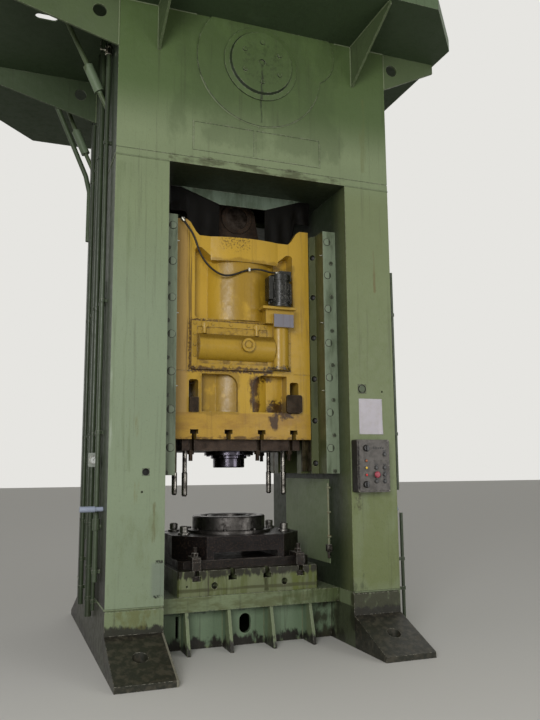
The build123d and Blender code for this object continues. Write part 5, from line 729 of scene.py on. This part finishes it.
def service_finishes():
    """Finishes of the control box, its buttons, and the fittings at the sides."""
    # Sprayed grey enamel of the box: browned by hands, black with oil along its left edge, and painted shade
    # on its left side
    dress(["control_box"], enamel("panel_grey_enamel", "#5b5753", 0.85, streaks=0.25, gloss=0.45, marks=[
        stain((850, -FAR, 1290), (1140, FAR, 1740), "#3a3733", 0.6, soft=40, size=50, runs=1, cover=0.2),
        stain((820, -FAR, 1290), (835, FAR, 1740), "#1f1b19", 0.9, soft=34, size=40, runs=0.4),
        facing(LEFT, "#211d1b", 0.9)]))
    # Pressed phenolic of buttons and knobs: nearly black with a soft shine
    dress(["mode_switch", "stroke_switch", "speed_button", "inch_button", "up_button", "start_button",
           "down_button", "lamp_test_button"], moulded("black_phenolic", "#0d0c0b", rough=0.3, dust=0.08))
    # The same in a dark crimson for the stop button
    dress(["emergency_stop"], moulded("red_phenolic", "#8e2438", rough=0.35))
    # Small cases and fittings at the sides: pale blue-grey lacquer, dirty in spots
    dress(["side_fittings"], enamel("pale_fitting_enamel", "#97a0b2", 0.85, wear=0.3))
    # Gauge: grey case with a pale round dial
    dress(["air_gauge"], enamel("gauge_enamel", "#8c9188", 0.85, wear=0.3, marks=[
        film((-1366, -558, 1547), (-1302, -540, 1612), "#c9ccc6", 0.9, soft=2)]))


class PRESS_OT_finishes(bpy.types.Operator):
    """Give every solid of the frame, the slide, the drive and the die its finish"""

    bl_idname = "press.finishes"
    bl_label = "Finishes"

    def execute(self, context):
        settings = context.scene.press
        frame_finishes(settings)
        slide_finishes(settings)
        drive_finishes()
        die_finishes()
        service_finishes()
        return {"FINISHED"}


# Cable, in millimetres from the motor's gland to the clamp on the slide's left ear
CABLE_ROUTE = [(260, -600, 3290), (206, -600, 3290), (148, -594, 3308), (84, -572, 3318),
               (18, -550, 3312), (-50, -546, 3287), (-118, -546, 3256), (-188, -547, 3238),
               (-258, -548, 3248), (-323, -548, 3284), (-379, -547, 3334), (-423, -546, 3393),
               (-455, -545, 3460), (-478, -544, 3530), (-505, -543, 3597), (-544, -542, 3657),
               (-588, -540, 3713)]


class PRESS_OT_cable(bpy.types.Operator):
    """Lay the rubber cable from the adjusting motor over the drum to the clamp on the slide's ear"""

    bl_idname = "press.cable"
    bl_label = "Motor cable"

    def execute(self, context):
        curve = bpy.data.curves.new("motor_cable_line", "CURVE")
        curve.dimensions = "3D"
        spline = curve.splines.new("NURBS")
        spline.points.add(len(CABLE_ROUTE) - 1)
        for point, spot in zip(spline.points, CABLE_ROUTE):
            point.co = (*mm(*spot), 1.0)
        spline.order_u = 3
        spline.use_endpoint_u = True
        spline.resolution_u = 8
        curve.bevel_depth = context.scene.press.cable_diameter / 2
        curve.bevel_resolution = 4
        curve.use_fill_caps = True
        cable = bpy.data.objects.new("rubber_cable", curve)
        context.scene.collection.objects.link(cable)
        curve.materials.append(moulded("cable_rubber", "#120f0a", rough=0.5, grain=2, depth=0.05, shine=0.3))
        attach(cable, "slide")
        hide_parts("motor_cable")
        return {"FINISHED"}


# Aprons, in millimetres: outer edge, edge of the crown's hole, inner edge, and where the bottom drops
# into the slide's top pocket
APRON_OUTER = 692
APRON_HOLE = 600
APRON_INNER = 225
APRON_SHOULDER = (545, 496)
APRON_TOP = 4079
APRON_GUARD = 3950
APRON_HEM = (3852, 3640)
APRON_Y = -426
APRON_THICKNESS = 3


def apron_top(x):
    """Height of the apron's upper edge: level outside, then along the sloping guard."""
    return APRON_TOP - (APRON_TOP - APRON_GUARD) * max(0.0, (APRON_HOLE - x) / (APRON_HOLE - APRON_INNER))


def apron_hem(x):
    """Height of the apron's lower edge: above the slide's ear outside, down in the pocket inside."""
    outer, inner = APRON_SHOULDER
    drop = smooth_step((outer - x) / (outer - inner))
    return APRON_HEM[0] + (APRON_HEM[1] - APRON_HEM[0]) * drop


class PRESS_OT_apron(bpy.types.Operator):
    """Hang the two rubber oil aprons in slack folds between the crown and the slide"""

    bl_idname = "press.apron"
    bl_label = "Oil aprons"

    def execute(self, context):
        # Reinforced rubber sheet: black, limp, shiny where oil lies in the folds
        finish = moulded("apron_rubber", "#080602", rough=0.6, grain=6, depth=0.1, dust=0.5, dusty="#1f180b",
                         corner=None, shine=0.2)
        columns, rows = 60, 36
        depth = context.scene.press.apron_fold * 1000
        for side in (-1, 1):
            shape = bmesh.new()
            grid = []
            for i in range(columns + 1):
                u = i / columns
                x = APRON_OUTER + (APRON_INNER - APRON_OUTER) * u
                top, hem = apron_top(x), apron_hem(x)
                column = []
                for j in range(rows + 1):
                    v = j / rows
                    # Upright flutes that drift sideways on the way down, with a broad ripple over them
                    flute = 0.5 + 0.5 * sin(u * 21 + 1.5 * v + side)
                    ripple = 0.5 + 0.5 * noise.noise(Vector((u * 6, v * 3, side)))
                    back = depth * smooth_step(v * 1.3) * (0.6 * flute + 0.4 * ripple)
                    column.append(mm(side * x, APRON_Y + back, top + (hem - top) * v))
                grid.append(column)
            add_ribbon(shape, grid, APRON_THICKNESS)
            name = "apron_left" if side < 0 else "apron_right"
            made = piece(name, shape, "frame", finish, smooth=True)
            if side < 0:
                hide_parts("oil_apron")
        return {"FINISHED"}


# Notice sheet, in millimetres: its left, right and lower edges on the right column
NOTICE_LEFT, NOTICE_RIGHT, NOTICE_LOW = 912, 1144, 1793
PAPER_THICKNESS = 0.4


class PRESS_OT_notice(bpy.types.Operator):
    """Stick the plain paper sheet on the right column"""

    bl_idname = "press.notice"
    bl_label = "Notice sheet"

    def execute(self, context):
        width = NOTICE_RIGHT - NOTICE_LEFT
        height = context.scene.press.notice_height * 1000
        columns, rows = 20, 26
        grid = []
        for j in range(rows + 1):
            v = j / rows
            row = []
            for i in range(columns + 1):
                u = i / columns
                # The lower right corner curls off the column, and the paper cockles a little all over
                curl = 9 * smooth_step((u - 0.75) * 4) * smooth_step((0.3 - v) * 4)
                lift = 1.2 + curl + 1.2 * noise.noise(Vector((u * 3, v * 3, 0))) ** 2
                y = -HALF_DEPTH - PAPER_THICKNESS - lift
                row.append(mm(NOTICE_LEFT + width * u, y, NOTICE_LOW + height * v))
            grid.append(row)
        shape = bmesh.new()
        add_ribbon(shape, grid, PAPER_THICKNESS)
        # Writing paper gone grey-lilac in the shop air, with a few oily touches
        finish, tree, shader, place = new_finish("plain_notice_paper")
        soil = patches(tree, place, 60, 0.45, 0.8, detail=6.0)
        colour = layered(tree, linear("#f0eaf2"), [(meet(tree, soil, 0.3), linear("#c4bbae"))])
        tree.links.new(colour, shader.inputs["Base Color"])
        shader.inputs["Roughness"].default_value = 0.75
        made = piece("notice_sheet", shape, "frame", finish, smooth=True)
        return {"FINISHED"}


# Weld seams, in millimetres: the deck's brackets, how far they drop on each side, the bed's ribs, and the
# stretch of the front seam that the round pad of the shaft's cover interrupts
BRACKETS = (-925, 925)
BRACKET_HALF = 10
BRACKET_FOOT = 5080
SIDE_BRACKET_EDGES = (-HALF_DEPTH, -HALF_DEPTH + 20, 540, 560)
SIDE_BRACKET_DROP = {-1: 437, 1: 370}
BED_RIBS = (-555, -190, 190, 555)
RIB_HALF = 14
RIB_FACE = -481
PAD_BREAK = (-595, 745)
PAD_RADIUS = 592


def weld_runs():
    """Start and end of each straight weld bead on the frame, in millimetres."""
    runs = []
    under = DECK_UNDERSIDE - 1
    for side in (-1, 1):
        outer, inner = side * HALF_WIDTH, side * (OPENING + 5)
        proud = side * (HALF_WIDTH + 1)
        for z in (BED_TOP, CROWN_BOTTOM):
            for y in (-HALF_DEPTH, HALF_DEPTH):
                runs.append(((outer, y, z), (inner, y, z)))
            runs.append(((outer, -HALF_DEPTH, z), (outer, HALF_DEPTH, z)))
        root = DECK_UNDERSIDE - SIDE_BRACKET_DROP[side]
        for y in SIDE_BRACKET_EDGES:
            runs.append(((proud, y, root + 4), (proud, y, DECK_UNDERSIDE - 4)))
        runs.append(((proud, -HALF_DEPTH, under), (proud, HALF_DEPTH, under)))
    for x in BRACKETS:
        for edge in (x - BRACKET_HALF, x + BRACKET_HALF):
            for way, reach in ((-1, DECK_FRONT), (1, DECK_REAR)):
                wall = way * (HALF_DEPTH + 1)
                runs.append(((edge, wall, BRACKET_FOOT), (edge, wall, DECK_UNDERSIDE - 4)))
                runs.append(((edge, way * (HALF_DEPTH + 6), under), (edge, reach, under)))
    for start, end in ((-HALF_WIDTH, PAD_BREAK[0]), (PAD_BREAK[1], HALF_WIDTH)):
        runs.append(((start, -HALF_DEPTH - 1, under), (end, -HALF_DEPTH - 1, under)))
    for x in BED_RIBS:
        for edge in (x - RIB_HALF, x + RIB_HALF):
            runs.append(((edge, RIB_FACE, 30), (edge, RIB_FACE, 325)))
    return runs


class PRESS_OT_welds(bpy.types.Operator):
    """Lay weld beads along the frame's seams, ribs and brackets"""

    bl_idname = "press.welds"
    bl_label = "Weld beads"

    def execute(self, context):
        radius = context.scene.press.weld_radius
        front = -HALF_DEPTH - 1
        shape = bmesh.new()
        for start, end in weld_runs():
            add_tube(shape, line(start, end), radius, sides=6, wobble=0.35)
        # Arc of bead round the second pad and the old bead that wanders below the shaft cover
        arc = ring_line(0, front, SHAFT_HEIGHT, PAD_RADIUS, 200, 340, 130)
        add_tube(shape, arc, radius, sides=6, wobble=0.4)
        wander = [mm(-24 + 36 * k / 40 + 8 * sin(k * 0.5), front, 4500 + 5 * k) for k in range(41)]
        add_tube(shape, wander, radius * 0.9, sides=6, wobble=0.5)
        # The frame's enamel, brushed thinner and darker over the ripples of the bead
        finish = enamel("bead_enamel", darker(context.scene.press.frame_colour, 0.82), 0.8, streaks=0.5)
        piece("weld_beads", shape, "frame", finish, smooth=True)
        return {"FINISHED"}


# Guide fittings, in millimetres: half the spread across and along the press, and the heights of each row
WASHER_SPREAD, WASHER_HEIGHTS = (735, 730), [1677 + 320 * i for i in range(7)]
POCKET_SPREAD, POCKET_HEIGHTS = (669, 533), [1543 + 390 * i for i in range(6)]
NIPPLE_SPREAD, NIPPLE_HEIGHTS = (692, 700), (2198, 2829, 3471)

# Their turned profiles, as radius and height
WASHER = [(31.2, 1.4), (34, 1.4), (35.5, 0.6), (35.5, 0.1), (31.2, 0.1), (31.2, 1.4)]
POCKET_FILL = [(0, -6), (14, -8), (24, -14), (26.5, -20), (0, -20)]
NIPPLE = [(0, 22), (4, 21), (5, 17), (3.5, 14), (3.5, 10), (8, 9), (8, 0.2), (0, 0.2)]


class PRESS_OT_guide_fittings(bpy.types.Operator):
    """Fit the guide bolts' washers, black discs of painted shade in the pockets and the nipples on the strips
    """

    bl_idname = "press.guide_fittings"
    bl_label = "Guide washers and nipples"

    def execute(self, context):
        washers, nipples, pocket_shade = bmesh.new(), bmesh.new(), bmesh.new()
        for side in (-1, 1):
            for front in (-1, 1):
                stand = facing_front if front < 0 else facing_rear
                for z in WASHER_HEIGHTS:
                    place = stand(side * WASHER_SPREAD[0], front * WASHER_SPREAD[1], z)
                    add_turned(washers, WASHER, place, steps=32)
                for z in POCKET_HEIGHTS:
                    away = Vector((-side, front, 0)).normalized()
                    pocket = Matrix.Translation(mm(side * POCKET_SPREAD[0], front * POCKET_SPREAD[1], z))
                    pocket = pocket @ away.to_track_quat("Z", "X").to_matrix().to_4x4()
                    add_turned(pocket_shade, POCKET_FILL, pocket)
                for z in NIPPLE_HEIGHTS:
                    place = facing_side(-side, side * NIPPLE_SPREAD[0], front * NIPPLE_SPREAD[1], z)
                    add_turned(nipples, NIPPLE, place, steps=12)
        # Stamped washers: dark under old oil, with a dull glint round the rim
        piece("guide_washers", washers, "frame",
              machined("oily_washer_steel", "#4b4a40", stained="#15140e", rough=0.5, stains=0.9, low=0.36))
        # Black discs sunk in the pockets of the sloped band: painted shade, with a soft shine
        piece("pocket_shade_discs", pocket_shade, "frame",
              moulded("black_pocket_shade", "#0b0a07", rough=0.55, grain=8, depth=0.8, dust=0.1), smooth=True)
        # Zinc-plated nipples: small bright points along the edge of the strips
        piece("grease_nipples", nipples, "frame",
              machined("zinc_plate", "#d5d6cf", stained="#6a675a", rough=0.3, stains=0.3))
        return {"FINISHED"}


class PRESS_OT_air_line(bpy.types.Operator):
    """Clip the thin air line with its cock to the right column's inner side, below the guide"""

    bl_idname = "press.air_line"
    bl_label = "Inner air line"

    def execute(self, context):
        wall, y = OPENING, -512
        x = wall - 20
        bottom, joint, top = 690, 745, 1361
        tube, block = bmesh.new(), bmesh.new()
        add_tube(tube, [mm(x, y, z) for z in range(800, top, 40)], mm(9), sides=12)
        for z in (880, 1100, 1320):
            add_plate(tube, (x - 12, y - 14, z - 9), (wall - 0.3, y + 14, z + 9), 2)
        add_plate(block, (x - 24, y - 26, joint), (wall - 0.3, y + 26, 812), 4)
        add_turned(block, [(0, 40), (10, 38), (12, 34), (12, 8), (18, 6), (18, 0), (0, 0)],
                   facing_front(x - 2, y - 26, 778), steps=16)
        add_tube(block, [mm(x - 2, y, z) for z in range(bottom, joint + 1, 9)], mm(13), sides=6)
        # Brushed enamel over drawn tube: chipped to rust
        piece("inner_air_line", tube, "frame",
              enamel("air_line_enamel", "#8a8f74", 0.7, dirt="#5b3d22", streaks=0.8, wear=1.0,
                     primer="#7c5a3a"))
        # Forged cock: black with oil, rubbed bright at its handle
        piece("air_line_cock", block, "frame",
              scaled_steel("oily_cock_steel", "#2b2822", "#171511", bright="#9c978c", gloss=0.3))
        return {"FINISHED"}


class PRESS_OT_valve(bpy.types.Operator):
    """Fit the bright shut-off valve on the front pipe, high on the left side"""

    bl_idname = "press.valve"
    bl_label = "Pipe valve"

    def execute(self, context):
        shape = bmesh.new()
        x, y, z = -1310, -640, 5165
        body = [(20.3, 46), (30, 46), (32, 42), (32, 20), (27, 18), (27, -18), (32, -20), (32, -42),
                (30, -46), (20.3, -46), (20.3, 46)]
        stem = [(0, 78), (9, 77), (10, 74), (10, 60), (7, 58), (7, 44), (17, 43), (17, 26), (0, 26)]
        add_turned(shape, body, Matrix.Translation(mm(x, y, z)), steps=6)
        add_turned(shape, stem, facing_side(-1, x, y, z), steps=16)
        add_plate(shape, (x - 76, y - 14, z - 8), (x - 68, y + 14, z + 74), 3)
        # Chromed brass: the one bright spot among the pipes, yellowed where the plate is thin
        piece("pipe_valve", shape, "frame",
              machined("chromed_valve_brass", "#b9b6a6", stained="#4a4232", rough=0.25, stains=0.45))
        return {"FINISHED"}


# Control panel, in millimetres across and up the press: lenses with their colours, buttons, strips and screws
LENSES = {"yellow": (910, 1498, "#d8b545"), "red": (910, 1438, "#c23a3a"), "amber": (910, 1559, "#9a5a3a")}
BUTTONS = ((1091, 1615), (1007, 1500), (1089, 1500), (1089, 1440), (1007, 1384), (1089, 1384))
TOP_STRIPS = (990, 1012, 1034, 1056, 1078)
SCREWS = [(x, z) for x in (842, 1133) for z in (1302, 1516, 1730)]
LENS = [(0, 17), (6, 16), (10, 12.5), (11, 9), (11, 2), (0, 2)]
NUT_RING = [(14.6, 5.5), (18.5, 5.5), (20.5, 4), (21, 0.2), (14.6, 0.2), (14.6, 5.5)]
SCREW_HEAD = [(0, 3.2), (3.5, 3), (6, 1.6), (6.4, 0.1), (0, 0.1)]


class PRESS_OT_panel_fittings(bpy.types.Operator):
    """Fit the control panel's lenses, nut rings, bare label strips and screws"""

    bl_idname = "press.panel_fittings"
    bl_label = "Control panel fittings"

    def execute(self, context):
        # Clear moulded lenses: small spots of colour with a hard shine
        for name, (x, z, colour) in LENSES.items():
            shape = bmesh.new()
            add_turned(shape, LENS, facing_front(x, PANEL_FACE, z))
            piece("lamp_lens_" + name, shape, "frame", moulded("lens_" + name, colour, rough=0.15),
                  smooth=True)
        rings, strips, screws = bmesh.new(), bmesh.new(), bmesh.new()
        for x, z in BUTTONS:
            add_turned(rings, NUT_RING, facing_front(x, PANEL_FACE, z))
            add_plate(strips, (x - 16, PANEL_FACE - 1.4, z + 23), (x + 16, PANEL_FACE - 0.1, z + 33), 0.5)
        for x in TOP_STRIPS:
            add_plate(strips, (x - 7, PANEL_FACE - 2, 1660), (x + 7, PANEL_FACE - 0.1, 1676), 0.8)
        for x, z in SCREWS:
            add_turned(screws, SCREW_HEAD, facing_front(x, PANEL_FACE, z), steps=16)
        # Blackened nuts and engraving plastic left bare: both a dusty black on the grey panel
        piece("bezel_rings", rings, "frame",
              moulded("blackened_bezel", "#141312", rough=0.4, dust=0.2))
        piece("label_strips", strips, "frame",
              moulded("engraved_strip_plastic", "#100f0e", rough=0.4, dust=0.15))
        # Turned screw heads: grey points at the panel's edge
        piece("panel_screws", screws, "frame",
              machined("slotted_screw_steel", "#6b675e", stains=0.7))
        return {"FINISHED"}


# Air gauge, in millimetres: the middle of its dial, and the swing of its scale in degrees
GAUGE = (-1334, -560, 1579.5)
SCALE_START, SCALE_SWING, TICKS = 225, -270, 9
NEEDLE_ANGLE = 55


class PRESS_OT_gauge_glass(bpy.types.Operator):
    """Fit the air gauge's rim, needle and plain ticks"""

    bl_idname = "press.gauge_glass"
    bl_label = "Air gauge dial"

    def execute(self, context):
        x, y, z = GAUGE
        rim, marks = bmesh.new(), bmesh.new()
        add_turned(rim, [(29, 5), (33, 5), (35, 3), (35, 0.1), (29, 0.1), (29, 5)],
                   facing_front(*GAUGE), steps=40)

        def on_dial(radius, angle, sink):
            """Point on the dial in metres, from a radius, an angle in radians and a depth in the case."""
            return mm(x + radius * cos(angle), y + sink, z + radius * sin(angle))

        for k in range(TICKS):
            turn = radians(SCALE_START + SCALE_SWING * k / (TICKS - 1))
            add_tube(marks, [on_dial(22, turn, 3.2), on_dial(27, turn, 3.2)], mm(0.8), sides=4)
        needle = radians(NEEDLE_ANGLE)
        add_tube(marks, [on_dial(-6, needle, 2.6), on_dial(21, needle, 2.6)], mm(1.1), sides=6)
        add_turned(marks, [(0, 2.4), (3, 2), (3.5, 0), (0, 0)], facing_front(x, y + 3.2, z), steps=16)
        # Turned steel rim: a thin bright circle; needle and ticks in black lacquer
        piece("gauge_rim", rim, "frame", machined("gauge_rim_steel", "#b5b3ab", stains=0.35))
        piece("gauge_needle", marks, "frame",
              moulded("black_lacquer", "#15130f", rough=0.3, dust=0.05))
        return {"FINISHED"}


# Stage, in metres and watts: soft lamps, each with its place, target, size and power, and a sky, at a level
# where a colour renders about as it is written
LAMPS = {"key": ((-5.5, -10.5, 4.2), (0, 0, 2.2), 4.0, 760),
         "fill": ((6.0, -9.0, 2.5), (0, 0, 2.0), 5.0, 200)}
SKY_STRENGTH = 0.64
FLOOR_REACH = 60

# Camera, worked out from the press's own edges: its place in metres, its lens, and the ways across, down and
# ahead in its picture
CAMERA_PLACE = (-2.083, -6.676, 1.5)
FOCAL_LENGTH, SENSOR_WIDTH = 36.17, 36
ACROSS = Vector((0.93624, -0.35128, -0.00743))
DOWNWARD = Vector((0.04516, 0.14128, -0.98894))
AHEAD = Vector((0.34844, 0.92555, 0.14813))


def add_floor(scene):
    """Lay the wide pale floor, which keeps the press's shadow."""
    reach = FLOOR_REACH
    mesh = bpy.data.meshes.new("floor")
    mesh.from_pydata([(-reach, -reach, 0), (reach, -reach, 0), (reach, reach, 0), (-reach, reach, 0)], [],
                     [(0, 1, 2, 3)])
    floor = bpy.data.objects.new("floor", mesh)
    scene.collection.objects.link(floor)
    finish, tree, shader, place = new_finish("pale_floor")
    shader.inputs["Base Color"].default_value = linear("#cfcdc8")
    shader.inputs["Roughness"].default_value = 0.85
    mesh.materials.append(finish)


def light_world(scene):
    """Light from all round at the sky's strength, with a pale background for the camera and reflections."""
    world = scene.world or bpy.data.worlds.new("world")
    scene.world = world
    world.use_nodes = True
    tree = world.node_tree
    ray = node(tree, "LightPath")
    shiny = node(tree, "Math", {0: ray.outputs["Is Glossy Ray"], 1: ray.outputs["Is Transmission Ray"]},
                 operation="MAXIMUM").outputs[0]
    seen = node(tree, "Math", {0: ray.outputs["Is Camera Ray"], 1: shiny}, operation="MAXIMUM").outputs[0]
    pale = node(tree, "Mix", {0: seen, 6: linear("#b9b9b6"), 7: linear("#e6e5e1")}, data_type="RGBA")
    back = tree.nodes["Background"]
    tree.links.new(pale.outputs[2], back.inputs["Color"])
    strength = node(tree, "MapRange", {"Value": seen, "To Min": SKY_STRENGTH, "To Max": 1.0})
    tree.links.new(strength.outputs[0], back.inputs["Strength"])


def add_lamps(scene):
    """Hang the soft lamps, each turned to its target."""
    for name, (spot, target, size, power) in LAMPS.items():
        lamp = bpy.data.lights.new(name, "AREA")
        lamp.size = size
        lamp.energy = power
        made = bpy.data.objects.new(name, lamp)
        scene.collection.objects.link(made)
        made.location = spot
        made.rotation_euler = (Vector(target) - Vector(spot)).to_track_quat("-Z", "Y").to_euler()


def add_camera(scene):
    """Stand the camera where the picture was taken from."""
    lens = bpy.data.cameras.new("camera")
    lens.lens = FOCAL_LENGTH
    lens.sensor_width = SENSOR_WIDTH
    lens.clip_end = 200
    camera = bpy.data.objects.new("camera", lens)
    scene.collection.objects.link(camera)
    turn = Matrix((ACROSS, -DOWNWARD, -AHEAD)).transposed()
    camera.matrix_world = Matrix.Translation(CAMERA_PLACE) @ turn.to_4x4()
    scene.camera = camera


class PRESS_OT_stage(bpy.types.Operator):
    """Set the pale floor, the soft lamps and the camera"""

    bl_idname = "press.stage"
    bl_label = "Stage and camera"

    def execute(self, context):
        scene = context.scene
        add_floor(scene)
        light_world(scene)
        add_lamps(scene)
        add_camera(scene)
        scene.view_settings.view_transform = "Standard"
        return {"FINISHED"}


OPERATORS = (PRESS_OT_stage, PRESS_OT_finishes, PRESS_OT_cable, PRESS_OT_apron, PRESS_OT_notice,
             PRESS_OT_welds, PRESS_OT_guide_fittings, PRESS_OT_air_line, PRESS_OT_valve,
             PRESS_OT_panel_fittings, PRESS_OT_gauge_glass)


class PRESS_PT_panel(bpy.types.Panel):
    bl_label = "Trimming press"
    bl_idname = "PRESS_PT_panel"
    bl_space_type = "VIEW_3D"
    bl_region_type = "UI"
    bl_category = "Press"

    def draw(self, context):
        for name in PressSettings.__annotations__:
            self.layout.prop(context.scene.press, name)
        for operator in OPERATORS:
            self.layout.operator(operator.bl_idname)


CLASSES = (PressSettings, *OPERATORS, PRESS_PT_panel)


def register():
    for cls in CLASSES:
        bpy.utils.register_class(cls)
    bpy.types.Scene.press = PointerProperty(type=PressSettings)


def unregister():
    del bpy.types.Scene.press
    for cls in reversed(CLASSES):
        bpy.utils.unregister_class(cls)


def main():
    """Register the add-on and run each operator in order."""
    register()
    for operator in OPERATORS:
        group, name = operator.bl_idname.split(".")
        getattr(getattr(bpy.ops, group), name)()


if __name__ == "__main__":
    main()
